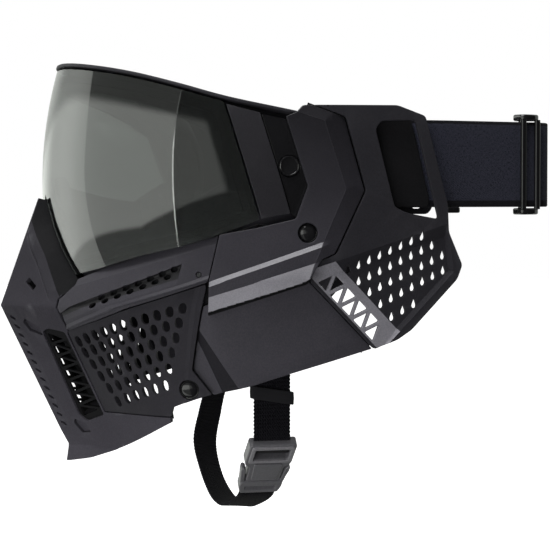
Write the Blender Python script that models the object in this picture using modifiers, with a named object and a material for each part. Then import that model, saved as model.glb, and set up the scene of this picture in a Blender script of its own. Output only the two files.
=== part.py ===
"""Full-face goggle mask: tinted double lens in a moulded goggle frame, perforated
face guard, ear guards, elastic head strap with adjusters and a buckled chin strap.

Drawing sheet: millimetres, the wearer's left is +X, the face looks along -Y, +Z is up.
Flat outlines are drawn in (s, z): s is the length round the plan curve from the centre
line, z the height on the sheet.  They are extruded flat and then bent round the plan.
The finished part is shifted so that its origin lies midway between the ears, at eye level.
"""
import math

import bmesh
import bpy
import numpy as np
from mathutils import Matrix, Vector

# ---------------------------------------------------------------- driving dimensions (mm)
DATUM_Y, DATUM_Z = 45.0, 60.0       # ear line and eye level on the drawing sheet
GAP = 0.3                           # clearance between touching pieces

LENS_HALF_WIDTH = 85.0              # lens plan: superellipse half width ...
LENS_DEPTH = 113.5                  # ... and depth
LENS_REAR_Y = -10.0
LENS_POWER = 2.3
LENS_BULGE_R = 210.0                # vertical radius of the lens
LENS_BULGE_Z = 50.0
LENS_T = 1.2                        # outer pane
INNER_PANE_T = 1.0
PANE_GAP = 3.0                      # air gap of the double pane

EAR_FLAT_X = 86.0                   # half width at the flat ear guards
EAR_FLAT_Y0, EAR_FLAT_Y1 = 28.0, 100.0
RIDGE = [(-96.0, -110.0), (-88.4, -111.0), (-14.3, -146.5), (38.9, -127.5), (60.0, -120.0)]
WAIST = [(-100.0, 0.88), (-60.0, 0.95), (0.0, 1.0)]

SHELL_T = 2.4
COVER_H = (0.8, 4.0)
BEZEL_H = (-1.4, 1.4)
PANEL_H = (-2.4, 0.0)
JAW_H = (-2.8, -0.4)
EAR_H = (-0.4, 2.0)

STRAP_W, STRAP_T = 44.0, 2.0
STRAP_Z = 58.5
WEB_W, WEB_T = 19.0, 1.6
RIVET_Z, CHIN_Y = -42.0, -18.5
CHIN_X = 63.0
STUD_R, STUD_HOLE_R = 4.6, 5.0
BUTTON_R = 5.2
BUTTON_TRAVEL = 2.0

# ---------------------------------------------------------------- scene set-up
for ob in list(bpy.data.objects):
    bpy.data.objects.remove(ob, do_unlink=True)
for me in list(bpy.data.meshes):
    bpy.data.meshes.remove(me)

PARTS = bpy.data.collections.new("goggle_mask")
CUTTERS = bpy.data.collections.new("cutters")
for c in (PARTS, CUTTERS):
    bpy.context.scene.collection.children.link(c)


def material(name, rgb, rough, metal=0.0, alpha=1.0, transmission=0.0):
    m = bpy.data.materials.new(name)
    m.use_nodes = True
    b = m.node_tree.nodes["Principled BSDF"]
    b.inputs["Base Color"].default_value = (*rgb, 1.0)
    b.inputs["Roughness"].default_value = rough
    b.inputs["Metallic"].default_value = metal
    b.inputs["Alpha"].default_value = alpha
    b.inputs["Transmission Weight"].default_value = transmission
    m.diffuse_color = (*rgb, alpha)
    return m


MAT = {
    "frame_black": material("frame_black", (0.030, 0.030, 0.033), 0.48),
    "guard_black": material("guard_black", (0.040, 0.039, 0.043), 0.55),
    "ear_black": material("ear_black", (0.034, 0.033, 0.036), 0.58),
    "gloss_black": material("gloss_black", (0.012, 0.012, 0.013), 0.12),
    "lens_tint": material("lens_tint", (0.25, 0.27, 0.26), 0.03, alpha=0.45, transmission=0.8),
    "lens_clear": material("lens_clear", (0.70, 0.74, 0.72), 0.03, alpha=0.25, transmission=0.9),
    "gasket": material("gasket", (0.020, 0.020, 0.021), 0.90),
    "foam": material("foam", (0.035, 0.035, 0.038), 0.95),
    "strap_fabric": material("strap_fabric", (0.075, 0.080, 0.100), 0.92),
    "webbing": material("webbing", (0.012, 0.012, 0.013), 0.90),
    "buckle_grey": material("buckle_grey", (0.085, 0.085, 0.092), 0.45),
    "steel": material("steel", (0.08, 0.08, 0.085), 0.30, metal=0.9),
}


# ---------------------------------------------------------------- the bent forms
def lens_plan():
    """Plan of the lens: a quarter superellipse, then a nearly straight run back."""
    th = np.linspace(0.0, math.pi / 2, 721)
    x = LENS_HALF_WIDTH * np.sin(th) ** (2 / LENS_POWER)
    y = LENS_REAR_Y - LENS_DEPTH * np.maximum(np.cos(th), 0.0) ** (2 / LENS_POWER)
    yb = np.arange(LENS_REAR_Y + 2.0, 70.0, 2.0)
    x = np.concatenate([x, LENS_HALF_WIDTH + 0.04 * (yb - LENS_REAR_Y)])
    y = np.concatenate([y, yb])
    return x, y


def spline_through(points, steps=24):
    """Centripetal Catmull-Rom curve through the points, in any dimension."""
    p = [np.array(q, float) for q in points]
    p = [2 * p[0] - p[1]] + p + [2 * p[-1] - p[-2]]
    out = []
    for i in range(1, len(p) - 2):
        p0, p1, p2, p3 = p[i - 1:i + 3]
        t0 = 0.0
        t1 = t0 + np.linalg.norm(p1 - p0) ** 0.5
        t2 = t1 + np.linalg.norm(p2 - p1) ** 0.5
        t3 = t2 + np.linalg.norm(p3 - p2) ** 0.5
        for k in range(steps):
            t = t1 + (t2 - t1) * k / steps
            a1 = (t1 - t) / (t1 - t0) * p0 + (t - t0) / (t1 - t0) * p1
            a2 = (t2 - t) / (t2 - t1) * p1 + (t - t1) / (t2 - t1) * p2
            a3 = (t3 - t) / (t3 - t2) * p2 + (t - t2) / (t3 - t2) * p3
            b1 = (t2 - t) / (t2 - t0) * a1 + (t - t0) / (t2 - t0) * a2
            b2 = (t3 - t) / (t3 - t1) * a2 + (t - t1) / (t3 - t1) * a3
            out.append((t2 - t) / (t2 - t1) * b1 + (t - t1) / (t2 - t1) * b2)
    out.append(p[-2])
    return np.array(out)


def mask_plan():
    """Plan of the face guard: blunt ridge, cheeks, flat ear guards."""
    front = spline_through([(0, -146.5), (9, -140.5), (30, -124), (46, -110), (60, -93),
                            (70, -73), (78, -45), (83, -15), (85.4, 8),
                            (EAR_FLAT_X, EAR_FLAT_Y0)])
    back = np.array([(EAR_FLAT_X, y) for y in np.arange(EAR_FLAT_Y0 + 2, EAR_FLAT_Y1, 2.0)])
    both = np.vstack([front, back])
    return both[:, 0], both[:, 1]


def arc(x, y):
    return np.concatenate([[0.0], np.cumsum(np.hypot(np.diff(x), np.diff(y)))])


LX, LY = lens_plan()
LS = arc(LX, LY)
MX, MY = mask_plan()
MS = arc(MX, MY)


def lens_form(s, z, h):
    """Point at arc length s and height z, h outside the lens's outer face."""
    s, z, h = (np.asarray(v, float) for v in (s, z, h))
    side = np.where(s < 0, -1.0, 1.0)
    a = np.abs(s)
    e = 0.8
    x, y = np.interp(a, LS, LX), np.interp(a, LS, LY)
    x2, y2 = np.interp(a + e, LS, LX), np.interp(a + e, LS, LY)
    x1 = np.where(a > e, np.interp(a - e, LS, LX), -np.interp(e - a, LS, LX))
    y1 = np.interp(np.abs(a - e), LS, LY)
    tx, ty = x2 - x1, y2 - y1
    n = np.hypot(tx, ty)
    nx, ny = ty / n, -tx / n
    v = (z - LENS_BULGE_Z) ** 2 / (2 * LENS_BULGE_R)
    dz = (z - LENS_BULGE_Z) / LENS_BULGE_R
    m = np.sqrt(1 + dz * dz)
    return np.stack([side * (x - nx * v + nx / m * h), y - ny * v + ny / m * h, z + dz / m * h], -1)


def mask_surface(s, z):
    side = np.where(s < 0, -1.0, 1.0)
    a = np.abs(s)
    x, y = np.interp(a, MS, MX), np.interp(a, MS, MY)
    t = np.clip((y + 130.0) / 85.0, 0, 1)
    f = 1 - t * t * (3 - 2 * t)
    ridge = np.interp(z, [r[0] for r in RIDGE], [r[1] for r in RIDGE])
    waist = np.interp(z, [w[0] for w in WAIST], [w[1] for w in WAIST])
    return np.stack([side * x * waist, y + (ridge + 146.5) * f, z + 0 * x], -1)


def mask_form(s, z, h):
    """Point at arc length s and height z, h outside the face guard's drawing surface."""
    s, z, h = (np.asarray(v, float) for v in (s, z, h))
    e = 0.5
    a = mask_surface(s + e, z) - mask_surface(s - e, z)
    b = mask_surface(s, z + e) - mask_surface(s, z - e)
    n = np.cross(a, b)
    n /= np.linalg.norm(n, axis=-1, keepdims=True)
    mitre = np.where(np.abs(s) < 1e-3, 1.2, 1.0)
    return mask_surface(s, z) + n * (h * mitre)[..., None]


# ---------------------------------------------------------------- building blocks
def link(name, mesh, mat, smooth=None):
    ob = bpy.data.objects.new(name, mesh)
    mesh.materials.clear()
    mesh.materials.append(MAT[mat])
    PARTS.objects.link(ob)
    if smooth is not None:
        mesh.shade_smooth()
        mesh.set_sharp_from_angle(angle=math.radians(smooth))
    return ob


def outward(bm):
    """Make every face point out of the solid."""
    bm.normal_update()
    bmesh.ops.recalc_face_normals(bm, faces=bm.faces)
    if bm.calc_volume(signed=True) < 0:
        bmesh.ops.reverse_faces(bm, faces=bm.faces)


def shift_to_origin(bm):
    """Sheet millimetres to the part's own metres."""
    for v in bm.verts:
        v.co = Vector((v.co.x, v.co.y - DATUM_Y, v.co.z - DATUM_Z)) * 0.001


def prism(outline, holes, h0, h1, name="flat"):
    """Flat slab from outlines in (s, z): a filled 2D curve, extruded to its thickness."""
    cu = bpy.data.curves.new(name, "CURVE")
    cu.dimensions = "2D"
    cu.fill_mode = "BOTH"
    cu.extrude = abs(h1 - h0) / 2
    for pts in [outline] + list(holes):
        sp = cu.splines.new("POLY")
        sp.points.add(len(pts) - 1)
        for p, q in zip(sp.points, pts):
            p.co = (q[0], q[1], 0.0, 1.0)
        sp.use_cyclic_u = True
    ob = bpy.data.objects.new(name, cu)
    ob.location = (0, 0, (h0 + h1) / 2)
    CUTTERS.objects.link(ob)
    bpy.context.view_layer.update()
    dg = bpy.context.evaluated_depsgraph_get()
    me = bpy.data.meshes.new_from_object(ob.evaluated_get(dg))
    me.transform(Matrix.Translation((0, 0, (h0 + h1) / 2)))
    bm = bmesh.new()
    bm.from_mesh(me)
    bmesh.ops.remove_doubles(bm, verts=bm.verts, dist=0.0001)
    bm.to_mesh(me)
    bm.free()
    out = bpy.data.objects.new(name, me)
    CUTTERS.objects.link(out)
    bpy.data.objects.remove(ob, do_unlink=True)
    bpy.data.curves.remove(cu)
    return out


def combine(base, other, op):
    """Boolean of two flat slabs, before they are bent."""
    mod = base.modifiers.new("join", "BOOLEAN")
    mod.operation = op
    mod.solver = "EXACT"
    mod.object = other
    bpy.context.view_layer.update()
    dg = bpy.context.evaluated_depsgraph_get()
    me = bpy.data.meshes.new_from_object(base.evaluated_get(dg))
    out = bpy.data.objects.new(base.name, me)
    CUTTERS.objects.link(out)
    bpy.data.objects.remove(base, do_unlink=True)
    bpy.data.objects.remove(other, do_unlink=True)
    return out


def bend(name, flat, form, mat, s_lines, z_lines, smooth=30, keep=False):
    """Split a flat slab along the given lines and bend it onto its form."""
    bm = bmesh.new()
    bm.from_mesh(flat.data)
    bmesh.ops.dissolve_limit(bm, angle_limit=0.01, verts=bm.verts, edges=bm.edges)
    for axis, lines in ((0, s_lines), (1, z_lines)):
        for c in lines:
            co, no = [0, 0, 0], [0, 0, 0]
            co[axis], no[axis] = c, 1.0
            bmesh.ops.bisect_plane(bm, geom=bm.verts[:] + bm.edges[:] + bm.faces[:],
                                   dist=0.0005, plane_co=co, plane_no=no)
    bmesh.ops.dissolve_degenerate(bm, edges=bm.edges, dist=0.001)
    bmesh.ops.triangulate(bm, faces=bm.faces)
    outward(bm)
    bm.verts.ensure_lookup_table()
    co = np.array([v.co[:] for v in bm.verts])
    new = form(co[:, 0], co[:, 1], co[:, 2])
    for v, p in zip(bm.verts, new):
        v.co = p
    shift_to_origin(bm)
    me = bpy.data.meshes.new(name)
    bm.to_mesh(me)
    bm.free()
    if not keep:
        bpy.data.objects.remove(flat, do_unlink=True)
    return link(name, me, mat, smooth)


def mirrored(ob, name):
    """The same piece for the wearer's other side."""
    bm = bmesh.new()
    bm.from_mesh(ob.data)
    for v in bm.verts:
        v.co.x = -v.co.x
    bmesh.ops.reverse_faces(bm, faces=bm.faces)
    me = bpy.data.meshes.new(name)
    bm.to_mesh(me)
    bm.free()
    mat = ob.data.materials[0].name
    return link(name, me, mat, 30)


def pair(stem, ob):
    ob.name = stem + "_L"
    return mirrored(ob, stem + "_R")


def lines(a, b, step):
    n = max(1, int(round((b - a) / step)))
    return [a + (b - a) * i / n for i in range(n + 1)]


def ellipse(cx, cy, rx, ry, n=6, turn=0.0, start=0.0):
    out = []
    for i in range(n):
        t = start + 2 * math.pi * i / n
        x, y = rx * math.cos(t), ry * math.sin(t)
        out.append((cx + x * math.cos(turn) - y * math.sin(turn),
                    cy + x * math.sin(turn) + y * math.cos(turn)))
    return out


def teardrop(cx, cy, w, h):
    return [(cx, cy + 0.58 * h), (cx - 0.5 * w, cy - 0.12 * h), (cx - 0.26 * w, cy - 0.42 * h),
            (cx + 0.26 * w, cy - 0.42 * h), (cx + 0.5 * w, cy - 0.12 * h)]


def inset(poly, d):
    """Convex polygon moved in by d on every side."""
    n = len(poly)
    area = sum(poly[i][0] * poly[(i + 1) % n][1] - poly[(i + 1) % n][0] * poly[i][1] for i in range(n))
    sgn = 1.0 if area > 0 else -1.0
    out = []
    for i in range(n):
        p0, p1, p2 = (np.array(poly[(i + k) % n], float) for k in (-1, 0, 1))
        u, v = p1 - p0, p2 - p1
        u, v = u / np.linalg.norm(u), v / np.linalg.norm(v)
        nu, nv = np.array([-u[1], u[0]]) * sgn, np.array([-v[1], v[0]]) * sgn
        k = d / (1 + nu @ nv)
        out.append(tuple(p1 + (nu + nv) * k))
    return out


def truss(lt, lb, rt, rb, n, rib):
    """Triangular windows between zigzag ribs, from a left edge to a right edge."""
    L = [np.array(lt) + (np.array(lb) - np.array(lt)) * i / n for i in range(n + 1)]
    R = [np.array(rt) + (np.array(rb) - np.array(rt)) * i / n for i in range(n + 1)]
    tris = []
    for i in range(n):
        mid = (R[i] + R[i + 1]) / 2
        tris.append([tuple(L[i]), tuple(L[i + 1]), tuple(mid)])
        if i < n - 1:
            tris.append([tuple(mid), tuple(L[i + 1]), tuple((R[i + 1] + R[i + 2]) / 2)])
    return [inset(t, rib / 2) for t in tris]


def rows(spec, shape):
    out = []
    for (x0, y0), (x1, y1), n in spec:
        for i in range(n):
            t = i / (n - 1)
            out.append(shape(x0 + (x1 - x0) * t, y0 + (y1 - y0) * t))
    return out


def both_sides(half):
    """Full outline from its half with s >= 0, first and last points on s = 0."""
    return list(half) + [(-s, z) for s, z in reversed(half[1:-1])]


def solid_from(bm, name, mat, smooth=30):
    outward(bm)
    shift_to_origin(bm)
    me = bpy.data.meshes.new(name)
    bm.to_mesh(me)
    bm.free()
    return link(name, me, mat, smooth)


def turned(name, axis_dir, base, profile, mat, segments=20):
    """Turned piece: a profile of (radius, height) spun by a Screw modifier about its axis."""
    me = bpy.data.meshes.new(name + "_profile")
    pts = [(r, 0.0, h) for r, h in profile]
    me.from_pydata(pts, [(i, i + 1) for i in range(len(pts) - 1)], [])
    ob = bpy.data.objects.new(name + "_profile", me)
    CUTTERS.objects.link(ob)
    sc = ob.modifiers.new("spin", "SCREW")
    sc.axis = "Z"
    sc.steps = sc.render_steps = segments
    sc.use_merge_vertices = True
    sc.merge_threshold = 0.0001
    sc.use_smooth_shade = False
    bpy.context.view_layer.update()
    dg = bpy.context.evaluated_depsgraph_get()
    new = bpy.data.meshes.new_from_object(ob.evaluated_get(dg))
    bpy.data.objects.remove(ob, do_unlink=True)
    bm = bmesh.new()
    bm.from_mesh(new)
    bmesh.ops.remove_doubles(bm, verts=bm.verts, dist=0.0001)
    rot = Vector((0, 0, 1)).rotation_difference(Vector(axis_dir)).to_matrix()
    for v in bm.verts:
        v.co = rot @ v.co + Vector(base)
    return solid_from(bm, name, mat, 35)


def ribbon(name, path, width_dirs, width, thick, mat, n_across=2):
    """Flat strap swept along a path: section corners at every path point, skinned."""
    path = np.array(path, float)
    tang = np.gradient(path, axis=0)
    tang /= np.linalg.norm(tang, axis=1)[:, None]
    bm = bmesh.new()
    rings = []
    for p, t, w in zip(path, tang, width_dirs):
        w = np.array(w, float)
        w -= t * (w @ t)
        w /= np.linalg.norm(w)
        nn = np.cross(t, w)
        rings.append([bm.verts.new(p + w * a * width / 2 + nn * b * thick / 2)
                      for a, b in ((-1, -1), (1, -1), (1, 1), (-1, 1))])
    for r0, r1 in zip(rings[:-1], rings[1:]):
        for k in range(4):
            bm.faces.new((r0[k], r0[(k + 1) % 4], r1[(k + 1) % 4], r1[k]))
    bm.faces.new(rings[0][::-1])
    bm.faces.new(rings[-1])
    bmesh.ops.triangulate(bm, faces=bm.faces)
    return solid_from(bm, name, mat, 40)


# ================================================================ lens and goggle frame
LENS_EDGE = [(0, 107.4), (25, 106.7), (45, 105.1), (62, 103.0), (78, 100.2), (100, 95.0), (122.6, 88.8),
             (140.4, 30.4), (110, 20.4), (79, 13.2), (54, 7.2), (33, 3.4),
             (22.6, 14.4), (13.4, 27.4), (6.4, 37.2), (0, 43.0)]
FRAME_OPEN = [(0, 97), (25, 96.6), (50, 95), (78, 90), (99, 83), (114, 75), (125, 50), (98, 35),
              (79, 23), (57, 15), (39, 12), (29, 19), (18, 33), (8, 48), (0, 52)]
S_HALF = [13, 26, 40, 54, 66, 78, 92, 108, 124, 142, 160, 176]
S_LENS = [-v for v in S_HALF] + [0.0] + S_HALF      # fold lines round the lens ...
Z_LENS = [4, 24, 44, 62, 80, 98]                    # ... and up it


def shrink(half, d):
    """Half outline with its full outline moved in by d (points near the corners kept)."""
    full = both_sides(half)
    n = len(full)
    area = sum(full[i][0] * full[(i + 1) % n][1] - full[(i + 1) % n][0] * full[i][1] for i in range(n))
    sgn = 1.0 if area > 0 else -1.0
    out = []
    for i in range(len(half)):
        p0, p1, p2 = (np.array(full[(i + k) % n], float) for k in (-1, 0, 1))
        u, v = p1 - p0, p2 - p1
        u, v = u / np.linalg.norm(u), v / np.linalg.norm(v)
        nu, nv = np.array([-u[1], u[0]]) * sgn, np.array([-v[1], v[0]]) * sgn
        q = p1 + (nu + nv) * d / (1 + nu @ nv)
        out.append((0.0 if i in (0, len(half) - 1) else q[0], q[1]))
    return out


outer = bend("outer_lens", prism(both_sides(LENS_EDGE), [], -LENS_T, 0.0),
             lens_form, "lens_tint", S_LENS, Z_LENS)
pane0 = -LENS_T - PANE_GAP
bend("inner_lens", prism(both_sides(shrink(LENS_EDGE, 2.5)), [], pane0 - INNER_PANE_T, pane0),
     lens_form, "lens_clear", S_LENS, Z_LENS)
bend("lens_gasket", prism(both_sides(shrink(LENS_EDGE, 2.8)), [both_sides(shrink(LENS_EDGE, 6.5))],
                          pane0 + 2 * GAP, -LENS_T - 2 * GAP), lens_form, "gasket", S_LENS, Z_LENS)

# goggle frame: seat ring behind the panes, with a brow lip over the lens and an arm each side
FRAME_H = (-11.6, pane0 - INNER_PANE_T - 3 * GAP)
FRAME_EDGE = [(0, 110.4), (25, 109.7), (45, 108.1), (62, 106.0), (78, 103.2), (100, 98.0), (124, 91.6),
              (160, 84.4), (172, 79), (182.5, 46), (172, 22), (141, 27.4), (110, 16.6), (79, 9.4),
              (54, 2.8), (31, -2.4), (20, 10), (11, 23), (5, 32.5), (0, 37.5)]
BROW = [(0, 110.4), (25, 109.7), (45, 108.1), (62, 106.0), (78, 103.2), (100, 98.0), (124, 91.6), (160, 84.4),
        (160, 82.6), (124, 89.8), (100, 95.9), (78, 101.1), (62, 103.9), (45, 106.0), (25, 107.6), (0, 108.3)]
frame = combine(prism(both_sides(FRAME_EDGE), [both_sides(FRAME_OPEN)], *FRAME_H),
                prism(both_sides(BROW), [], FRAME_H[1] - 2.0, 0.6), "UNION")
bend("goggle_frame", frame, lens_form, "frame_black", S_LENS, Z_LENS)

# end trims and latches behind the lens, one each side
pair("lens_end_trim", bend("t", prism([(124.0, 87.6), (141.0, 83.4), (156.0, 33.6), (141.4, 31.0)], [],
                                      -1.4, 0.3), lens_form, "guard_black", S_LENS, [60]))
BUTTON = (155.6, 57.0)
button_hole = ellipse(BUTTON[0], BUTTON[1], BUTTON_R + 0.3, BUTTON_R + 0.3, 20)
pair("lens_latch", bend("t", prism([(141.8, 83.0), (159.0, 79.6), (168.4, 47.4), (162.0, 29.4), (156.8, 33.2)],
                                   [button_hole], -4.6, -0.8), lens_form, "gloss_black", S_LENS, []))
bx, by, bz = lens_form(BUTTON[0], BUTTON[1], 0.0)
pair("lens_button", turned("t", (1, 0, 0), (bx - 2.4, by, bz),
                           [(0, 0), (BUTTON_R, 0), (BUTTON_R, 2.1), (BUTTON_R - 0.5, 2.6),
                            (0, 2.6)][::-1], "gloss_black", 20))

# temple covers: outer skin of the frame from the lens's rear edge to the ear guard
COVER = [(122.9, 0.4), (128.2, 23.0), (147.0, 26.4), (165.9, 30.8), (171.9, 47.1), (161.0, 82.0),
         (162.0, 86.4), (166.9, 87.0), (173.9, 87.2), (190.6, 81.2), (201.0, 44.7),
         (185.8, 13.5), (178.5, 10.8), (174.0, 4.0), (171.5, 1.0), (123.0, -14.5)]
STUD = (171.7, 23.8)
PANEL_STUD = (110.9, -54.4)
S_SIDE = [12, 26, 40, 53, 66, 80, 96, 114, 134, 158, 182]
S_MASK = [-v for v in S_SIDE] + [0.0] + S_SIDE
Z_MASK = [-88.4, -60, -36, -14.3, 0, 18, 38.9]
pair("temple_cover", bend("t", prism(COVER, [ellipse(*STUD, STUD_HOLE_R, STUD_HOLE_R, 16)], *COVER_H),
                          mask_form, "frame_black", S_SIDE, Z_MASK))

# lower bezel: the vented bar under the lens
BEZEL = [(47.4, -3.2), (46.6, 0.4), (62, 6.6), (83.3, 12.6), (100, 16.6), (117.7, 20.0), (127.6, 22.4),
         (122.3, 0.0), (121.2, -0.8), (108, -5.2), (88, -11.8), (64, -19.4), (42.2, -25.2), (40.4, -10.4)]
VENTS = rows([((62.0, -12.6), (101.0, 2.2), 7), ((66.0, -8.2), (104.5, 6.4), 7)],
             lambda x, y: ellipse(x, y, 1.9, 1.6))
SCREW = (119.0 - 1.5, 3.1)
pair("lower_bezel", bend("t", prism(BEZEL, VENTS + [ellipse(*SCREW, 1.5, 1.5, 10)], *BEZEL_H),
                         mask_form, "frame_black", S_SIDE, Z_MASK))

# ================================================================ face guard
FRONT_STRIP = truss((26.0, -28.4), (20.8, -72.4), (33.6, -28.4), (36.4, -70.0), 7, 1.7)
SHROUD = [(0, 41.0), (3.6, 40.6), (11.2, 32.2), (18.4, 24.4), (30.3, 12.3), (43.4, 0.5), (45.8, -3.4),
          (38.4, -10.4), (39.6, -26.2), (38.3, -28), (38.6, -68.4), (94.6, -68.9), (93.7, -71.6), (16.5, -93.2),
          (0.0, -95.6)]
RIDGE_VENTS = [ellipse(0, z, 3.2, 1.1, 6, turn=0.0) for z in (-22, -32, -42, -52, -62, -72)]
guard_holes = RIDGE_VENTS + FRONT_STRIP + [[(-a, b) for a, b in reversed(t)] for t in FRONT_STRIP]
NOSE_SLOT = [(12.4, -2.2), (13.8, 0.2), (20.6, -4.0), (19.2, -6.4)]
guard_holes += [NOSE_SLOT, [(-a, b) for a, b in reversed(NOSE_SLOT)]]
bend("face_guard", prism(both_sides(SHROUD), guard_holes, -SHELL_T, 0.4),
     mask_form, "guard_black", sorted(S_MASK + [-5, 5]), Z_MASK, smooth=25)

PANEL = [(39.0, -27.4), (40.2, -25.8), (64, -19.9), (88, -12.3), (108, -5.8), (121.0, -1.5), (121.4, -3.4),
         (113.6, -44.4), (124.8, -56.6), (98.2, -63.5), (95.0, -68.3), (39.0, -67.9)]
HOLES = rows([((42.6, -31.6), (109.0, -13.6), 11), ((43.6, -37.3), (106.7, -20.9), 10),
              ((45.6, -43.2), (104.3, -28.4), 9), ((47.6, -49.3), (101.0, -35.9), 8),
              ((50.0, -55.4), (97.8, -44.0), 7), ((52.4, -62.0), (93.8, -52.6), 6)],
             lambda x, y: ellipse(x + 1.4, y, 2.0, 2.8, 6, start=math.pi / 6))
pair("vent_panel", bend("t", prism(PANEL, HOLES + [ellipse(*PANEL_STUD, STUD_HOLE_R * 1.3, STUD_HOLE_R, 16)],
                                   *PANEL_H), mask_form, "guard_black", S_SIDE, Z_MASK))

JAW = [(121.9, -15.2), (170.8, 0.3), (172.6, -0.9), (205.6, -34.9), (163.9, -47.1), (146.2, -52.5),
       (125.8, -57.3), (114.3, -44.6)]
pair("jaw_panel", bend("t", prism(JAW, [], *JAW_H), mask_form, "guard_black",
                       S_SIDE, Z_MASK))

# ================================================================ ear guards
EAR = [(174.7, 87.4), (218.0, 87.6), (232.7, 82.3), (244.7, 37.6), (245.3, 24.0), (252.5, 7.3), (249.8, 0.3),
       (226.2, -25.1), (218.9, -30.0), (206.8, -34.4), (173.8, -0.3), (175.0, 3.6), (179.0, 10.3),
       (186.5, 13.1), (201.8, 44.8), (191.2, 81.7)]
WINDOW = [(206.4, 75.6), (209.2, 79.6), (227.4, 80.2), (239.6, 30.6), (222.8, 33.7), (216.5, 36.7)]
TEARS = rows([((193.3, 5.7), (231.5, 22.1), 8), ((199.0, -0.3), (237.5, 17.5), 8),
              ((204.8, -5.9), (243.0, 12.4), 8), ((210.7, -12.0), (243.4, 4.8), 7),
              ((216.6, -18.6), (228.1, -12.2), 3)], lambda x, y: teardrop(x, y, 2.6, 5.2))
REAR_STRIP = truss((177.6, -0.2), (205.6, -30.2), (186.6, 4.6), (215.6, -26.0), 5, 1.8)
pair("ear_guard", bend("t", prism(EAR, [WINDOW] + TEARS + REAR_STRIP, *EAR_H), mask_form, "ear_black",
                       [182, 200, 208], [-16, 0]))

# outriggers behind the ear guards carry the head strap in a slot
OUTRIGGER = [(196.0, 50.0), (199.0, 78.0), (206.0, 84.0), (237.0, 84.0), (239.5, 80.0), (239.5, 36.0), (237.0, 33.0),
             (206.0, 33.0), (196.0, 42.0)]
SLOT = [(229.0, 35.8), (233.2, 35.8), (233.2, 81.2), (229.0, 81.2)]
pair("strap_outrigger", bend("t", prism(OUTRIGGER, [SLOT], -9.6, -7.2), mask_form, "ear_black", [200], []))

# ================================================================ fasteners
def on_mask(s, z, h):
    p = mask_form(s, z, h)
    n = mask_form(s, z, h + 1.0) - p
    return Vector(p), Vector(n).normalized()


p, n = on_mask(*STUD, 0.0)
pair("frame_stud", turned("t", n, p, [(0, 0), (2.2, 0), (2.2, 1.2), (STUD_R, 1.2), (STUD_R, 3.2),
                                      (3.4, 4.2), (1.6, 4.6), (0, 4.7)][::-1], "gloss_black", 16))
p, n = on_mask(*PANEL_STUD, -4.0)
pair("panel_stud", turned("t", n, p, [(0, 0), (2.2, 0), (2.2, 1.9), (STUD_R, 1.9), (STUD_R, 4.0),
                                      (3.4, 4.9), (1.6, 5.3), (0, 5.4)][::-1], "gloss_black", 16))
p, n = on_mask(*SCREW, -3.0)
pair("bezel_screw", turned("t", n, p, [(0, 0), (1.15, 0), (1.15, 4.1), (0, 4.1)][::-1], "steel", 10))

# ================================================================ foam carrier and face foam
CARRIER_FRONT = [(0, 103), (25, 102.4), (50, 100), (80, 95), (103, 86.5), (119, 77), (129.5, 52), (112, 31),
                 (85, 18), (60, 8.5), (38, 5), (26, 13), (15, 28), (7, 41), (0, 45.5)]
CARRIER_REAR = [(0, 97), (15, 96.4), (30, 94), (43.5, 89), (54.5, 81), (61, 68), (62.5, 52), (59, 35),
                (51, 21), (40, 12), (27, 9), (18, 15), (11.5, 25), (5, 35), (0, 38)]


def closed_ring(half, n):
    """n points spread evenly round a smooth closed curve through a symmetric outline."""
    full = both_sides(half)
    k = len(full)
    loop = spline_through([full[i % k] for i in range(-3, k + 4)], 12)[36:-36]
    a = arc(loop[:, 0], loop[:, 1])
    t = np.linspace(0, a[-1], n + 1)[:-1]
    return np.stack([np.interp(t, a, loop[:, 0]), np.interp(t, a, loop[:, 1])], -1)


def face_y(x):
    """Depth of the wearer's face behind the foam, in plan."""
    return 28.0 - 88.0 * np.sqrt(np.maximum(1 - (np.abs(x) / 78.0) ** 2, 0.02))


N_RING = 64
cf, cr = closed_ring(CARRIER_FRONT, N_RING), closed_ring(CARRIER_REAR, N_RING)
bm = bmesh.new()
front = [bm.verts.new(q) for q in lens_form(cf[:, 0], cf[:, 1], FRAME_H[0] - 1.2)]
rear = [bm.verts.new((x, face_y(x) - 14.8, z)) for x, z in cr]
for loop in (front, rear):
    for i in range(N_RING):
        bm.edges.new((loop[i], loop[(i + 1) % N_RING]))
bmesh.ops.bridge_loops(bm, edges=bm.edges[:])
bmesh.ops.recalc_face_normals(bm, faces=bm.faces)
shift_to_origin(bm)
me = bpy.data.meshes.new("foam_carrier")
bm.to_mesh(me)
bm.free()
carrier = link("foam_carrier", me, "frame_black", 40)
sol = carrier.modifiers.new("wall", "SOLIDIFY")
sol.thickness = 0.0018
sol.offset = 0.0

FOAM_R = 6.4
fr = closed_ring(CARRIER_REAR, 48)
cu = bpy.data.curves.new("face_foam", "CURVE")
cu.dimensions = "3D"
cu.bevel_depth = FOAM_R * 0.001
cu.bevel_resolution = 1
sp = cu.splines.new("POLY")
sp.points.add(len(fr) - 1)
for q, (x, z) in zip(sp.points, fr):
    q.co = (x * 0.001, (face_y(x) - 6.4 - DATUM_Y) * 0.001, (z - DATUM_Z) * 0.001, 1.0)
sp.use_cyclic_u = True
foam = bpy.data.objects.new("face_foam", cu)
cu.materials.append(MAT["foam"])
PARTS.objects.link(foam)

# ================================================================ head strap and adjusters
def plan_path(points, step):
    """Evenly spaced points along a plan polyline with rounded joints."""
    c = spline_through(points, 16)
    a = arc(c[:, 0], c[:, 1])
    n = int(round(a[-1] / step))
    t = np.linspace(0, a[-1], n + 1)
    return np.stack([np.interp(t, a, c[:, 0]), np.interp(t, a, c[:, 1])], -1)


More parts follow.
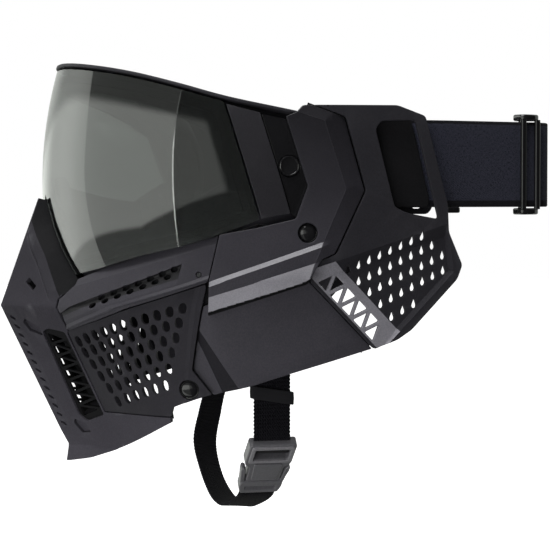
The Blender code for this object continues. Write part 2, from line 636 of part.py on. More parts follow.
RUN_A, RUN_B = np.array([76.6, 68.0]), np.array([56.8, 128.2])      # straight run of the strap
RUN = (RUN_B - RUN_A) / np.linalg.norm(RUN_B - RUN_A)
OUT = np.array([RUN[1], -RUN[0]])
inner_half = np.vstack([
    [(74.6, 44.0), (74.8, 54.0), (75.2, 63.0)],
    [RUN_A + (RUN_B - RUN_A) * t for t in (0.06, 0.35, 0.65, 1.0)],
    plan_path([(56.8, 128.2), (54.6, 131.8), (49.6, 134.6), (38.0, 137.4), (20.0, 140.6), (0.0, 142.0)], 6.0)[1:],
])
inner_full = np.vstack([inner_half, [(-x, y) for x, y in inner_half[::-1][1:]]])
strap_path = [(x, y, STRAP_Z) for x, y in inner_full]
ribbon("head_strap", strap_path, [(0, 0, 1)] * len(strap_path), STRAP_W, STRAP_T, "strap_fabric")

# the strap's folded tail: over the outrigger's bar, back outside to the adjuster
TAIL = STRAP_T + 0.4
tail_half = [(80.5, 30.0), (80.5, 46.0), (80.5, 61.5)] + \
            [tuple(RUN_A + (RUN_B - RUN_A) * t + OUT * TAIL) for t in (0.06, 0.35, 0.65, 0.98)]
tail = ribbon("t", [(x, y, STRAP_Z) for x, y in tail_half], [(0, 0, 1)] * len(tail_half),
              STRAP_W, STRAP_T - 0.4, "strap_fabric")
pair("strap_tail", tail)


def box_object(c, size, origin, axes):
    """Box of the given size, centred at c in a local frame."""
    bm = bmesh.new()
    bmesh.ops.create_cube(bm, size=1.0)
    for v in bm.verts:
        q = np.array(c, float) + np.array(v.co[:]) * np.array(size, float)
        v.co = Vector(np.array(origin, float) + axes @ q)
    outward(bm)
    me = bpy.data.meshes.new("box")
    bm.to_mesh(me)
    bm.free()
    ob = bpy.data.objects.new("box", me)
    CUTTERS.objects.link(ob)
    return ob


def boxes_union(name, boxes, mat, smooth=30, cuts=()):
    """One solid from overlapping boxes (centre, size, origin, axes), less the cuts."""
    base = box_object(*boxes[0])
    for b in boxes[1:]:
        base = combine(base, box_object(*b), "UNION")
    for b in cuts:
        base = combine(base, box_object(*b), "DIFFERENCE")
    bm = bmesh.new()
    bm.from_mesh(base.data)
    bpy.data.objects.remove(base, do_unlink=True)
    bmesh.ops.remove_doubles(bm, verts=bm.verts, dist=0.0001)
    bmesh.ops.dissolve_limit(bm, angle_limit=math.radians(1), verts=bm.verts, edges=bm.edges)
    bmesh.ops.triangulate(bm, faces=bm.faces)
    return solid_from(bm, name, mat, smooth)


# tri-glide: outer bars in front of the strap, a middle bar behind it, ends past its edges
GLIDE_AT = RUN_A + (RUN_B - RUN_A) * 0.84
glide_axes = np.array([[RUN[0], OUT[0], 0], [RUN[1], OUT[1], 0], [0, 0, 1.0]])
o3 = (GLIDE_AT[0], GLIDE_AT[1], STRAP_Z)
H_END = STRAP_W / 2 + 0.6
lo, hi = -STRAP_T / 2 - 0.5, STRAP_T / 2 + TAIL + 0.3
boxes = [((0, (lo - 1.0 + hi + 1.0) / 2, sgn * (H_END + 1.7)), (13.0, hi - lo + 4.8, 3.4), o3, glide_axes)
         for sgn in (-1, 1)]
boxes += [((0, lo - 1.0, 0), (3.6, 2.0, 2 * H_END + 2.0), o3, glide_axes)]
boxes += [((u, hi + 1.0, 0), (3.0, 2.0, 2 * H_END + 2.0), o3, glide_axes) for u in (-4.6, 4.6)]
pair("tri_glide", boxes_union("t", boxes, "gloss_black"))

# ================================================================ chin strap
BUCKLE_A = np.array([CHIN_X, CHIN_Y + 1.0, -82.0])
D = np.array([-0.76, 0.0, -0.65])
D /= np.linalg.norm(D)
W = np.array([0.0, 1.0, 0.0])
N = np.cross(D, W)
N = N if N[0] > 0 else -N
buckle_axes = np.stack([D, W, N], 1)

# anchor lugs inside the jaw panels; the webbing turns on their rivets
for side, tag in ((1, "L"), (-1, "R")):
    ax = np.diag([1.0, 1.0, 1.0])
    boxes_union("chin_anchor_" + tag,
                [((side * 67.4, CHIN_Y, -40.0), (3.0, 24.0, 24.0), (0, 0, 0), ax),
                 ((side * 71.9, CHIN_Y, -33.0), (7.6, 16.0, 5.0), (0, 0, 0), ax)], "ear_black")
for side, tag in ((1, "L"), (-1, "R")):
    turned("chin_rivet_" + tag, (-side, 0, 0), (side * 65.6, CHIN_Y, RIVET_Z),
           [(0, 0), (2.2, 0), (2.2, 4.2), (4.4, 4.2), (4.4, 5.4), (0, 5.6)][::-1], "steel", 14)


def web_panel(name, x, z_top, z_bot, hole):
    """Flat webbing end with the rivet's hole, standing in the Y-Z plane."""
    pts = [(CHIN_Y - WEB_W / 2, z_bot), (CHIN_Y + WEB_W / 2, z_bot), (CHIN_Y + WEB_W / 2, z_top),
           (CHIN_Y - WEB_W / 2, z_top)]
    flat = prism(pts, [ellipse(CHIN_Y, RIVET_Z, 2.6, 2.6, 14)] if hole else [], -WEB_T / 2, WEB_T / 2)
    return bend(name, flat, lambda s, z, h: np.stack([x + h, s, z], -1), "webbing", [], [])


web_panel("chin_web_left", CHIN_X, RIVET_Z + 7.0, -81.6, True)
web_panel("chin_web_end_R", -CHIN_X, RIVET_Z + 7.0, -59.4, True)

# keeper: a closed loop round the webbing
kz = -58.5
kb = []
for dx in (-1, 1):
    kb.append(((CHIN_X + dx * (WEB_T / 2 + 0.4 + 0.7), CHIN_Y, kz), (1.4, WEB_W + 3.6, 6.0),
               (0, 0, 0), np.eye(3)))
for dy in (-1, 1):
    kb.append(((CHIN_X, CHIN_Y + dy * (WEB_W / 2 + 0.4 + 1.0), kz), (WEB_T + 3.4, 2.0, 6.0),
               (0, 0, 0), np.eye(3)))
boxes_union("web_keeper", kb, "webbing")

# female half: frame with a window, a body with a mouth for the prongs
FL, FW, FT = 32.0, 25.0, 7.0
boxes_union("buckle_female", [((FL / 2 + 0.6, 0, 0), (FL, FW, FT), BUCKLE_A, buckle_axes)], "buckle_grey",
            cuts=[((7.4, 0, 0), (9.6, 16.6, FT + 4), BUCKLE_A, buckle_axes),
                  ((FL - 7.0, 0, 0), (20.0, 17.4, 4.0), BUCKLE_A, buckle_axes)])

# male half: base block, two prongs in the mouth, web bar
MALE_U = FL + 0.6 + GAP
male = [((MALE_U + 5.0, 0, 0), (10.0, 23.0, 6.4)), ((MALE_U - 6.0, 6.0, 0), (14.0, 3.2, 3.0)),
        ((MALE_U - 6.0, -6.0, 0), (14.0, 3.2, 3.0)), ((MALE_U - 5.0, 0, 0), (12.0, 2.4, 3.0))]
boxes_union("buckle_male", [(c, s, BUCKLE_A, buckle_axes) for c, s in male], "buckle_grey")

start = BUCKLE_A + D * (MALE_U + 10.0 + GAP)
far = spline_through([start, start + D * 5.0, (8.0, CHIN_Y + 1.0, -119.6), (-14.0, CHIN_Y, -124.2),
                      (-36.0, CHIN_Y - 1.5, -122.0), (-53.0, CHIN_Y - 4.0, -111.0), (-62.0, CHIN_Y - 5.5, -95.0),
                      (-64.0, CHIN_Y - 2.0, -78.0), (-CHIN_X, CHIN_Y, -67.0), (-CHIN_X, CHIN_Y, -60.4)], 4)
m = len(far)
twist = [math.radians(52.0) * (lambda t: t * t * (3 - 2 * t))(min(max((i / (m - 1) - 0.25) / 0.35, 0), 1))
         * (1 - (lambda t: t * t * (3 - 2 * t))(min(max((i / (m - 1) - 0.86) / 0.14, 0), 1))) for i in range(m)]
tg = np.gradient(far, axis=0)
tg /= np.linalg.norm(tg, axis=1)[:, None]
dirs = []
for t, a in zip(tg, twist):
    w = W - t * (W @ t)
    w /= np.linalg.norm(w)
    dirs.append(w * math.cos(a) + np.cross(t, w) * math.sin(a))
ribbon("chin_web_right", far, dirs, WEB_W, WEB_T, "webbing")

for ob in list(CUTTERS.objects):
    bpy.data.objects.remove(ob, do_unlink=True)
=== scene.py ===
"""Looks of the full-face goggle mask: fine shells, panes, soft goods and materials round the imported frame."""
import math

import bmesh
import bpy
import numpy as np
from mathutils import Matrix, Vector


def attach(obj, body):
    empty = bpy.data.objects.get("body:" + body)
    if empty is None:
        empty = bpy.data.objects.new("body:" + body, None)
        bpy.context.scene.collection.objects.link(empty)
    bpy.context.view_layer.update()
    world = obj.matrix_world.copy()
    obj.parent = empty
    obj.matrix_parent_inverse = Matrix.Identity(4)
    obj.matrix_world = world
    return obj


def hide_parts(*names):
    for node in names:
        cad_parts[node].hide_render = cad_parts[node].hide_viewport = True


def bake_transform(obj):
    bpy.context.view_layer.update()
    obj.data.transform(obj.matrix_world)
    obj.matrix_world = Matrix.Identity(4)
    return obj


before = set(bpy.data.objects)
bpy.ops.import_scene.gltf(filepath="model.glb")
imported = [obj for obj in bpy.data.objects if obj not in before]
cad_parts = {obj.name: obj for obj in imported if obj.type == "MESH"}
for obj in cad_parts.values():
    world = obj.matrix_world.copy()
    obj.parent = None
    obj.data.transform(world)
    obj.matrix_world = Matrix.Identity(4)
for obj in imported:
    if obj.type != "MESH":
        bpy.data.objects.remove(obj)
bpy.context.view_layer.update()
SCENE = bpy.context.scene

# ------------------------------------------------------------------ drawing sheet (mm) and forms
DATUM_Y, DATUM_Z = 45.0, 60.0
LENS_HALF_WIDTH, LENS_DEPTH, LENS_REAR_Y, LENS_POWER = 85.0, 113.5, -10.0, 2.3
LENS_BULGE_R, LENS_BULGE_Z = 210.0, 50.0
LENS_T, INNER_PANE_T, PANE_GAP = 1.2, 1.0, 3.0
EAR_FLAT_X, EAR_FLAT_Y0, EAR_FLAT_Y1 = 86.0, 28.0, 100.0
RIDGE = [(-96.0, -110.0), (-88.4, -111.0), (-14.3, -146.5), (38.9, -127.5), (60.0, -120.0)]
WAIST = [(-100.0, 0.88), (-60.0, 0.95), (0.0, 1.0)]
STRAP_W, STRAP_T, STRAP_Z = 44.0, 2.0, 58.5
WEB_W, WEB_T = 19.0, 1.6
RIVET_Z, CHIN_Y, CHIN_X = -42.0, -18.5, 63.0


def lens_plan():
    th = np.linspace(0.0, math.pi / 2, 721)
    x = LENS_HALF_WIDTH * np.sin(th) ** (2 / LENS_POWER)
    y = LENS_REAR_Y - LENS_DEPTH * np.maximum(np.cos(th), 0.0) ** (2 / LENS_POWER)
    yb = np.arange(LENS_REAR_Y + 2.0, 70.0, 2.0)
    return (np.concatenate([x, LENS_HALF_WIDTH + 0.04 * (yb - LENS_REAR_Y)]),
            np.concatenate([y, yb]))


def spline_through(points, steps=24):
    """Centripetal Catmull-Rom curve through the points, in any dimension."""
    p = [np.array(q, float) for q in points]
    p = [2 * p[0] - p[1]] + p + [2 * p[-1] - p[-2]]
    out = []
    for i in range(1, len(p) - 2):
        p0, p1, p2, p3 = p[i - 1:i + 3]
        t0 = 0.0
        t1 = t0 + np.linalg.norm(p1 - p0) ** 0.5
        t2 = t1 + np.linalg.norm(p2 - p1) ** 0.5
        t3 = t2 + np.linalg.norm(p3 - p2) ** 0.5
        for k in range(steps):
            t = t1 + (t2 - t1) * k / steps
            a1 = (t1 - t) / (t1 - t0) * p0 + (t - t0) / (t1 - t0) * p1
            a2 = (t2 - t) / (t2 - t1) * p1 + (t - t1) / (t2 - t1) * p2
            a3 = (t3 - t) / (t3 - t2) * p2 + (t - t2) / (t3 - t2) * p3
            b1 = (t2 - t) / (t2 - t0) * a1 + (t - t0) / (t2 - t0) * a2
            b2 = (t3 - t) / (t3 - t1) * a2 + (t - t1) / (t3 - t1) * a3
            out.append((t2 - t) / (t2 - t1) * b1 + (t - t1) / (t2 - t1) * b2)
    out.append(p[-2])
    return np.array(out)


def mask_plan():
    front = spline_through([(0, -146.5), (9, -140.5), (30, -124), (46, -110), (60, -93),
                            (70, -73), (78, -45), (83, -15), (85.4, 8),
                            (EAR_FLAT_X, EAR_FLAT_Y0)])
    back = np.array([(EAR_FLAT_X, y) for y in np.arange(EAR_FLAT_Y0 + 2, EAR_FLAT_Y1, 2.0)])
    both = np.vstack([front, back])
    return both[:, 0], both[:, 1]


def arc(x, y):
    return np.concatenate([[0.0], np.cumsum(np.hypot(np.diff(x), np.diff(y)))])


LX, LY = lens_plan()
LS = arc(LX, LY)
MX, MY = mask_plan()
MS = arc(MX, MY)


def lens_form(s, z, h):
    s, z, h = (np.asarray(v, float) for v in (s, z, h))
    side = np.where(s < 0, -1.0, 1.0)
    a = np.abs(s)
    e = 0.8
    x, y = np.interp(a, LS, LX), np.interp(a, LS, LY)
    x2, y2 = np.interp(a + e, LS, LX), np.interp(a + e, LS, LY)
    x1 = np.where(a > e, np.interp(a - e, LS, LX), -np.interp(e - a, LS, LX))
    y1 = np.interp(np.abs(a - e), LS, LY)
    tx, ty = x2 - x1, y2 - y1
    n = np.hypot(tx, ty)
    nx, ny = ty / n, -tx / n
    v = (z - LENS_BULGE_Z) ** 2 / (2 * LENS_BULGE_R)
    dz = (z - LENS_BULGE_Z) / LENS_BULGE_R
    m = np.sqrt(1 + dz * dz)
    return np.stack([side * (x - nx * v + nx / m * h), y - ny * v + ny / m * h, z + dz / m * h], -1)


def mask_surface(s, z):
    side = np.where(s < 0, -1.0, 1.0)
    a = np.abs(s)
    x, y = np.interp(a, MS, MX), np.interp(a, MS, MY)
    t = np.clip((y + 130.0) / 85.0, 0, 1)
    f = 1 - t * t * (3 - 2 * t)
    ridge = np.interp(z, [r[0] for r in RIDGE], [r[1] for r in RIDGE])
    waist = np.interp(z, [w[0] for w in WAIST], [w[1] for w in WAIST])
    return np.stack([side * x * waist, y + (ridge + 146.5) * f, z + 0 * x], -1)


def mask_form(s, z, h):
    s, z, h = (np.asarray(v, float) for v in (s, z, h))
    e = 0.5
    a = mask_surface(s + e, z) - mask_surface(s - e, z)
    b = mask_surface(s, z + e) - mask_surface(s, z - e)
    n = np.cross(a, b)
    n /= np.linalg.norm(n, axis=-1, keepdims=True)
    mitre = np.where(np.abs(s) < 1e-3, 1.2, 1.0)
    return mask_surface(s, z) + n * (h * mitre)[..., None]


def metres(co):
    co = np.asarray(co, float)
    return np.stack([co[..., 0], co[..., 1] - DATUM_Y, co[..., 2] - DATUM_Z], -1) * 0.001


# ------------------------------------------------------------------ materials
def nodes_of(name):
    m = bpy.data.materials.new(name)
    m.use_nodes = True
    nt = m.node_tree
    b = nt.nodes["Principled BSDF"]
    return m, nt, b


def add(nt, kind, **kw):
    n = nt.nodes.new(kind)
    for k, v in kw.items():
        setattr(n, k, v)
    return n


def link(nt, a, b):
    nt.links.new(a, b)


def ramp(nt, src, lo, hi, c0, c1):
    r = add(nt, "ShaderNodeValToRGB")
    r.color_ramp.elements[0].position = lo
    r.color_ramp.elements[1].position = hi
    r.color_ramp.elements[0].color = (*c0, 1.0)
    r.color_ramp.elements[1].color = (*c1, 1.0)
    link(nt, src, r.inputs[0])
    return r


def map_range(nt, src, a, b, c, d):
    r = add(nt, "ShaderNodeMapRange")
    for i, v in zip((1, 2, 3, 4), (a, b, c, d)):
        r.inputs[i].default_value = v
    link(nt, src, r.inputs[0])
    return r


def noise(nt, coord, scale, detail=3.0, rough=0.55, stretch=None):
    src = coord
    if stretch is not None:
        mp = add(nt, "ShaderNodeMapping")
        mp.inputs["Scale"].default_value = stretch
        link(nt, coord, mp.inputs["Vector"])
        src = mp.outputs["Vector"]
    n = add(nt, "ShaderNodeTexNoise")
    n.inputs["Scale"].default_value = scale
    n.inputs["Detail"].default_value = detail
    n.inputs["Roughness"].default_value = rough
    link(nt, src, n.inputs["Vector"])
    return n


def plastic(name, dark, light, rough=(0.40, 0.52), grain=1600.0, bump=0.10, ior=1.46, wear_and_edge_highlight=0.0, spec=0.5, fade=None):
    """Moulded plastic: fine spark-eroded grain, slow tonal drift, handling marks in the gloss; fade paints shade by
    height, and edge lightening from pointiness is part wear, part painted edge highlight.
    """
    m, nt, b = nodes_of(name)
    tc = add(nt, "ShaderNodeTexCoord").outputs["Object"]
    drift = noise(nt, tc, 22.0, 4.0, 0.6)
    fine = noise(nt, tc, grain, 2.0, 0.6)
    col = ramp(nt, drift.outputs["Fac"], 0.30, 0.72, dark, light)
    speck = ramp(nt, fine.outputs["Fac"], 0.35, 0.70, (0.86, 0.86, 0.87), (1.12, 1.12, 1.13))
    mix = add(nt, "ShaderNodeMix", data_type="RGBA", blend_type="MULTIPLY")
    mix.inputs[0].default_value = 1.0
    link(nt, col.outputs[0], mix.inputs[6])
    link(nt, speck.outputs[0], mix.inputs[7])
    out = mix.outputs[2]
    # fade: base colour multiplied by a ramp over object height, painted shade and light standing in for how the lamps
    # fall
    if fade:
        zz = add(nt, "ShaderNodeSeparateXYZ")
        link(nt, tc, zz.inputs[0])
        at = map_range(nt, zz.outputs[2], fade[0], fade[2], 0.0, 1.0)
        grey = ramp(nt, at.outputs[0], 0.0, 1.0, (fade[1],) * 3, (fade[3],) * 3)
        mf = add(nt, "ShaderNodeMix", data_type="RGBA", blend_type="MULTIPLY")
        mf.inputs[0].default_value = 1.0
        link(nt, out, mf.inputs[6])
        link(nt, grey.outputs[0], mf.inputs[7])
        out = mf.outputs[2]
    # Pointiness lightens convex edges, broken up by scuff noise: partly rubbed wear, partly painted edge highlight
    if wear_and_edge_highlight:
        geo = add(nt, "ShaderNodeNewGeometry")
        scuff = noise(nt, tc, 260.0, 4.0, 0.7)
        edge = map_range(nt, geo.outputs["Pointiness"], 0.52, 0.60, 0.0, wear_and_edge_highlight)
        sc = map_range(nt, scuff.outputs["Fac"], 0.35, 0.65, 0.3, 1.0)
        mul = add(nt, "ShaderNodeMath", operation="MULTIPLY")
        link(nt, edge.outputs[0], mul.inputs[0])
        link(nt, sc.outputs[0], mul.inputs[1])
        mx = add(nt, "ShaderNodeMix", data_type="RGBA")
        mx.inputs[7].default_value = (0.14, 0.14, 0.15, 1.0)
        link(nt, mul.outputs[0], mx.inputs[0])
        link(nt, out, mx.inputs[6])
        out = mx.outputs[2]
    link(nt, out, b.inputs["Base Color"])
    smear = noise(nt, tc, 75.0, 5.0, 0.65)
    r = map_range(nt, smear.outputs["Fac"], 0.3, 0.7, rough[0], rough[1])
    link(nt, r.outputs[0], b.inputs["Roughness"])
    bp = add(nt, "ShaderNodeBump")
    bp.inputs["Strength"].default_value = bump
    bp.inputs["Distance"].default_value = 0.0003
    link(nt, fine.outputs["Fac"], bp.inputs["Height"])
    link(nt, bp.outputs[0], b.inputs["Normal"])
    b.inputs["IOR"].default_value = ior
    b.inputs["Specular IOR Level"].default_value = spec
    return m


def glass(name, tint, ior, rough=0.0):
    m, nt, b = nodes_of(name)
    tc = add(nt, "ShaderNodeTexCoord").outputs["Object"]
    b.inputs["Base Color"].default_value = (*tint, 1.0)
    b.inputs["Transmission Weight"].default_value = 1.0
    b.inputs["IOR"].default_value = ior
    b.inputs["Roughness"].default_value = rough
    wave = noise(nt, tc, 9.0, 1.0, 0.4)
    bp = add(nt, "ShaderNodeBump")
    bp.inputs["Strength"].default_value = 0.02
    bp.inputs["Distance"].default_value = 0.0004
    link(nt, wave.outputs["Fac"], bp.inputs["Height"])
    link(nt, bp.outputs[0], b.inputs["Normal"])
    return m


def woven(name, threads, pitch, border=None, rough=0.9, bump=0.5, sheen=0.3, ribs=False):
    """Woven band.  UV runs in millimetres, u along the band and v across it from its middle."""
    m, nt, b = nodes_of(name)
    uv = add(nt, "ShaderNodeTexCoord").outputs["UV"]
    sep = add(nt, "ShaderNodeSeparateXYZ")
    link(nt, uv, sep.inputs[0])

    def sine(sock, p, phase=0.0):
        a = add(nt, "ShaderNodeMath", operation="MULTIPLY_ADD")
        a.inputs[1].default_value = 2 * math.pi / p
        a.inputs[2].default_value = phase
        link(nt, sock, a.inputs[0])
        s = add(nt, "ShaderNodeMath", operation="SINE")
        link(nt, a.outputs[0], s.inputs[0])
        return s.outputs[0]

    wu = sine(sep.outputs[0], pitch[0])
    wv = sine(sep.outputs[1], pitch[1])
    prod = add(nt, "ShaderNodeMath", operation="MULTIPLY")
    link(nt, wu, prod.inputs[0])
    link(nt, wv, prod.inputs[1])
    weave = prod.outputs[0]
    if ribs:
        pick = add(nt, "ShaderNodeMath", operation="MULTIPLY_ADD")
        pick.inputs[1].default_value = 0.8
        link(nt, wu, pick.inputs[0])
        link(nt, weave, pick.inputs[2])
        weave = pick.outputs[0]
    streak = noise(nt, uv, 1.0, 3.0, 0.7, stretch=(0.55, 2.6, 1.0))
    slub = noise(nt, uv, 1.0, 2.0, 0.6, stretch=(2.4, 0.7, 1.0))
    fuzz = noise(nt, uv, 3.4, 4.0, 0.7)
    addn = add(nt, "ShaderNodeMath", operation="ADD")
    link(nt, streak.outputs["Fac"], addn.inputs[0])
    link(nt, slub.outputs["Fac"], addn.inputs[1])
    add2 = add(nt, "ShaderNodeMath", operation="MULTIPLY_ADD")
    add2.inputs[1].default_value = 0.10
    link(nt, weave, add2.inputs[0])
    link(nt, addn.outputs[0], add2.inputs[2])
    col = ramp(nt, add2.outputs[0], 0.80, 1.22, threads[0], threads[1])
    out = col.outputs[0]
    if border is not None:
        top, bottom, shade = border
        for cmp_op, level in (("GREATER_THAN", top), ("LESS_THAN", bottom)):
            g = add(nt, "ShaderNodeMath", operation=cmp_op)
            g.inputs[1].default_value = level
            link(nt, sep.outputs[1], g.inputs[0])
            mx = add(nt, "ShaderNodeMix", data_type="RGBA")
            mx.inputs[7].default_value = (*shade, 1.0)
            link(nt, g.outputs[0], mx.inputs[0])
            link(nt, out, mx.inputs[6])
            out = mx.outputs[2]
    link(nt, out, b.inputs["Base Color"])
    r = map_range(nt, fuzz.outputs["Fac"], 0.3, 0.7, rough - 0.06, min(1.0, rough + 0.06))
    link(nt, r.outputs[0], b.inputs["Roughness"])
    hgt = add(nt, "ShaderNodeMath", operation="MULTIPLY_ADD")
    hgt.inputs[1].default_value = 0.6
    link(nt, fuzz.outputs["Fac"], hgt.inputs[0])
    link(nt, weave, hgt.inputs[2])
    bp = add(nt, "ShaderNodeBump")
    bp.inputs["Strength"].default_value = bump
    bp.inputs["Distance"].default_value = 0.0003
    link(nt, hgt.outputs[0], bp.inputs["Height"])
    link(nt, bp.outputs[0], b.inputs["Normal"])
    b.inputs["Sheen Weight"].default_value = sheen
    b.inputs["Sheen Roughness"].default_value = 0.5
    b.inputs["Specular IOR Level"].default_value = 0.08
    return m


def foam_material(name, dark, light, scale, bump):
    m, nt, b = nodes_of(name)
    tc = add(nt, "ShaderNodeTexCoord").outputs["Object"]
    cells = add(nt, "ShaderNodeTexVoronoi", feature="SMOOTH_F1")
    cells.inputs["Scale"].default_value = scale
    link(nt, tc, cells.inputs["Vector"])
    drift = noise(nt, tc, 60.0, 5.0, 0.7)
    col = ramp(nt, drift.outputs["Fac"], 0.3, 0.7, dark, light)
    link(nt, col.outputs[0], b.inputs["Base Color"])
    r = map_range(nt, drift.outputs["Fac"], 0.3, 0.7, 0.85, 1.0)
    link(nt, r.outputs[0], b.inputs["Roughness"])
    bp = add(nt, "ShaderNodeBump")
    bp.inputs["Strength"].default_value = bump
    bp.inputs["Distance"].default_value = 0.0004
    link(nt, cells.outputs["Distance"], bp.inputs["Height"])
    link(nt, bp.outputs[0], b.inputs["Normal"])
    b.inputs["Sheen Weight"].default_value = 0.08
    b.inputs["Specular IOR Level"].default_value = 0.2
    return m


MAT = {
    # frame: fade paints shade, darker towards the top
    "frame": plastic("satin_black", (0.0175, 0.0166, 0.0200), (0.0225, 0.0214, 0.0254), (0.42, 0.52), 1500, 0.10, spec=0.12, wear_and_edge_highlight=0.2, fade=(-0.040, 1.15, 0.026, 0.42)),
    # rail: lighter copy of the satin black, a painted highlight on the up-facing rail and ledge
    "rail": plastic("painted_highlight_ledge", (0.072, 0.070, 0.078), (0.088, 0.085, 0.095), (0.36, 0.46), 1500, 0.08, spec=0.25, wear_and_edge_highlight=0.2),
    # guard: fade paints light, lighter towards the bottom
    "guard": plastic("matte_charcoal", (0.0205, 0.0194, 0.0232), (0.0262, 0.0248, 0.0294), (0.62, 0.72), 1300, 0.12, spec=0.06, wear_and_edge_highlight=0.2, fade=(-0.150, 1.55, -0.050, 0.75)),
    "trim": plastic("satin_trim", (0.0120, 0.0116, 0.0132), (0.0156, 0.0150, 0.0170), (0.46, 0.56), 1300, 0.12, spec=0.08, wear_and_edge_highlight=0.2),
    "jaw": plastic("matte_charcoal_jaw", (0.0262, 0.0250, 0.0296), (0.0330, 0.0315, 0.0370), (0.48, 0.58), 1300, 0.12, spec=0.12, wear_and_edge_highlight=0.2),
    "vent": plastic("matte_charcoal_vent", (0.0122, 0.0116, 0.0138), (0.0160, 0.0152, 0.0180), (0.48, 0.58), 1300, 0.12, spec=0.07, wear_and_edge_highlight=0.2),
    "ear": plastic("soft_black", (0.0122, 0.0118, 0.0140), (0.0160, 0.0154, 0.0180), (0.50, 0.60), 1300, 0.12, spec=0.10, wear_and_edge_highlight=0.2),
    # darker copy of the charcoal plastic, painted shade on the jaw's diagonal facet
    "painted_shade_facet": plastic("painted_shade_step", (0.0085, 0.0082, 0.0098), (0.0115, 0.0110, 0.0130), (0.5, 0.6), 1300, 0.12, spec=0.05),
    # ear strip: lighter copy of the black plastic, a painted highlight
    "painted_highlight_strip": plastic("painted_highlight_rib", (0.125, 0.122, 0.134), (0.150, 0.146, 0.160), (0.46, 0.56), 1300, 0.12, spec=0.15, wear_and_edge_highlight=0.2),
    # truss: black plastic for dark parts, also painted shade in the bezel's sunk vent pocket
    "truss": plastic("black_rib_and_recess_shade", (0.0100, 0.0100, 0.0106), (0.0135, 0.0132, 0.0140), (0.40, 0.50), 1500, 0.08, spec=0.10),
    # dark: near-black fill, used as painted shade in seams, recesses and behind openings, and for a few dark inner
    # pieces
    "dark": plastic("black_fill_and_painted_shade", (0.0050, 0.0050, 0.0054), (0.0072, 0.0071, 0.0076), (0.6, 0.7), 1300, 0.1, spec=0.03),
    "gloss": plastic("polished_black", (0.0050, 0.0050, 0.0055), (0.0070, 0.0068, 0.0074), (0.07, 0.12), 900, 0.015, spec=0.5),
    "latch": plastic("latch_black", (0.0042, 0.0042, 0.0046), (0.0058, 0.0056, 0.0062), (0.12, 0.20), 900, 0.02, spec=0.4),
    "buckle": plastic("acetal_grey", (0.056, 0.055, 0.060), (0.074, 0.072, 0.078), (0.34, 0.46), 900, 0.14, wear_and_edge_highlight=0.35),
    "buckle_rim": plastic("acetal_rim", (0.105, 0.103, 0.110), (0.135, 0.132, 0.140), (0.34, 0.46), 900, 0.14, wear_and_edge_highlight=0.2),
    "steel": plastic("blackened_steel", (0.035, 0.035, 0.037), (0.06, 0.06, 0.063), (0.25, 0.38), 1200, 0.05),
    "lens": glass("smoke_lens", (0.190, 0.205, 0.195), 1.58),
    "pane": glass("clear_pane", (0.86, 0.88, 0.87), 1.30),
    "gasket": foam_material("seal_foam", (0.010, 0.010, 0.011), (0.016, 0.016, 0.017), 1500, 0.3),
    "foam": foam_material("face_foam", (0.010, 0.010, 0.011), (0.017, 0.017, 0.019), 1900, 0.5),
    "fleece": foam_material("fleece_face", (0.008, 0.008, 0.009), (0.015, 0.015, 0.017), 3200, 0.7),
    "strap": woven("heather_elastic", ((0.0050, 0.0054, 0.0090), (0.0240, 0.0250, 0.0370)), (1.0, 0.9),
                   border=(20.3, -18.6, (0.0050, 0.0050, 0.0066)), bump=0.5, sheen=0.03),
    "web": woven("black_webbing", ((0.0028, 0.0027, 0.0036), (0.0056, 0.0054, 0.0068)), (1.9, 1.3), bump=0.9, ribs=True, sheen=0.0),
    "loop": woven("elastic_loop", ((0.0045, 0.0045, 0.0050), (0.0095, 0.0095, 0.0105)), (1.2, 1.2), bump=0.7, sheen=0.02),
}
MAT["steel"].node_tree.nodes["Principled BSDF"].inputs["Metallic"].default_value = 0.9

# ------------------------------------------------------------------ mesh building
PIECES = {}


def area2(p):
    return sum(p[i][0] * p[(i + 1) % len(p)][1] - p[(i + 1) % len(p)][0] * p[i][1] for i in range(len(p))) / 2


def flat_slab(outline, holes, h0, h1, b=0.35, res=1):
    """Flat slab with rounded rims: a filled 2D curve with a bevel."""
    cu = bpy.data.curves.new("flat", "CURVE")
    cu.dimensions = "2D"
    cu.fill_mode = "BOTH"
    b = min(b, abs(h1 - h0) / 2 - 0.01)
    cu.extrude = abs(h1 - h0) / 2 - b
    cu.bevel_depth = b
    cu.bevel_resolution = res
    cu.offset = -b
    for pts in [outline] + list(holes):
        sp = cu.splines.new("POLY")
        sp.points.add(len(pts) - 1)
        for p, q in zip(sp.points, pts):
            p.co = (q[0], q[1], 0.0, 1.0)
        sp.use_cyclic_u = True
    ob = bpy.data.objects.new("flat", cu)
    SCENE.collection.objects.link(ob)
    bpy.context.view_layer.update()
    me = bpy.data.meshes.new_from_object(ob.evaluated_get(bpy.context.evaluated_depsgraph_get()))
    bpy.data.objects.remove(ob, do_unlink=True)
    bpy.data.curves.remove(cu)
    bm = bmesh.new()
    bm.from_mesh(me)
    bpy.data.meshes.remove(me)
    bmesh.ops.remove_doubles(bm, verts=bm.verts, dist=0.0001)
    for v in bm.verts:
        v.co.z += (h0 + h1) / 2
    return bm


def outward(bm):
    bm.normal_update()
    bmesh.ops.recalc_face_normals(bm, faces=bm.faces)
    if bm.calc_volume(signed=True) < 0:
        bmesh.ops.reverse_faces(bm, faces=bm.faces)
    bm.normal_update()


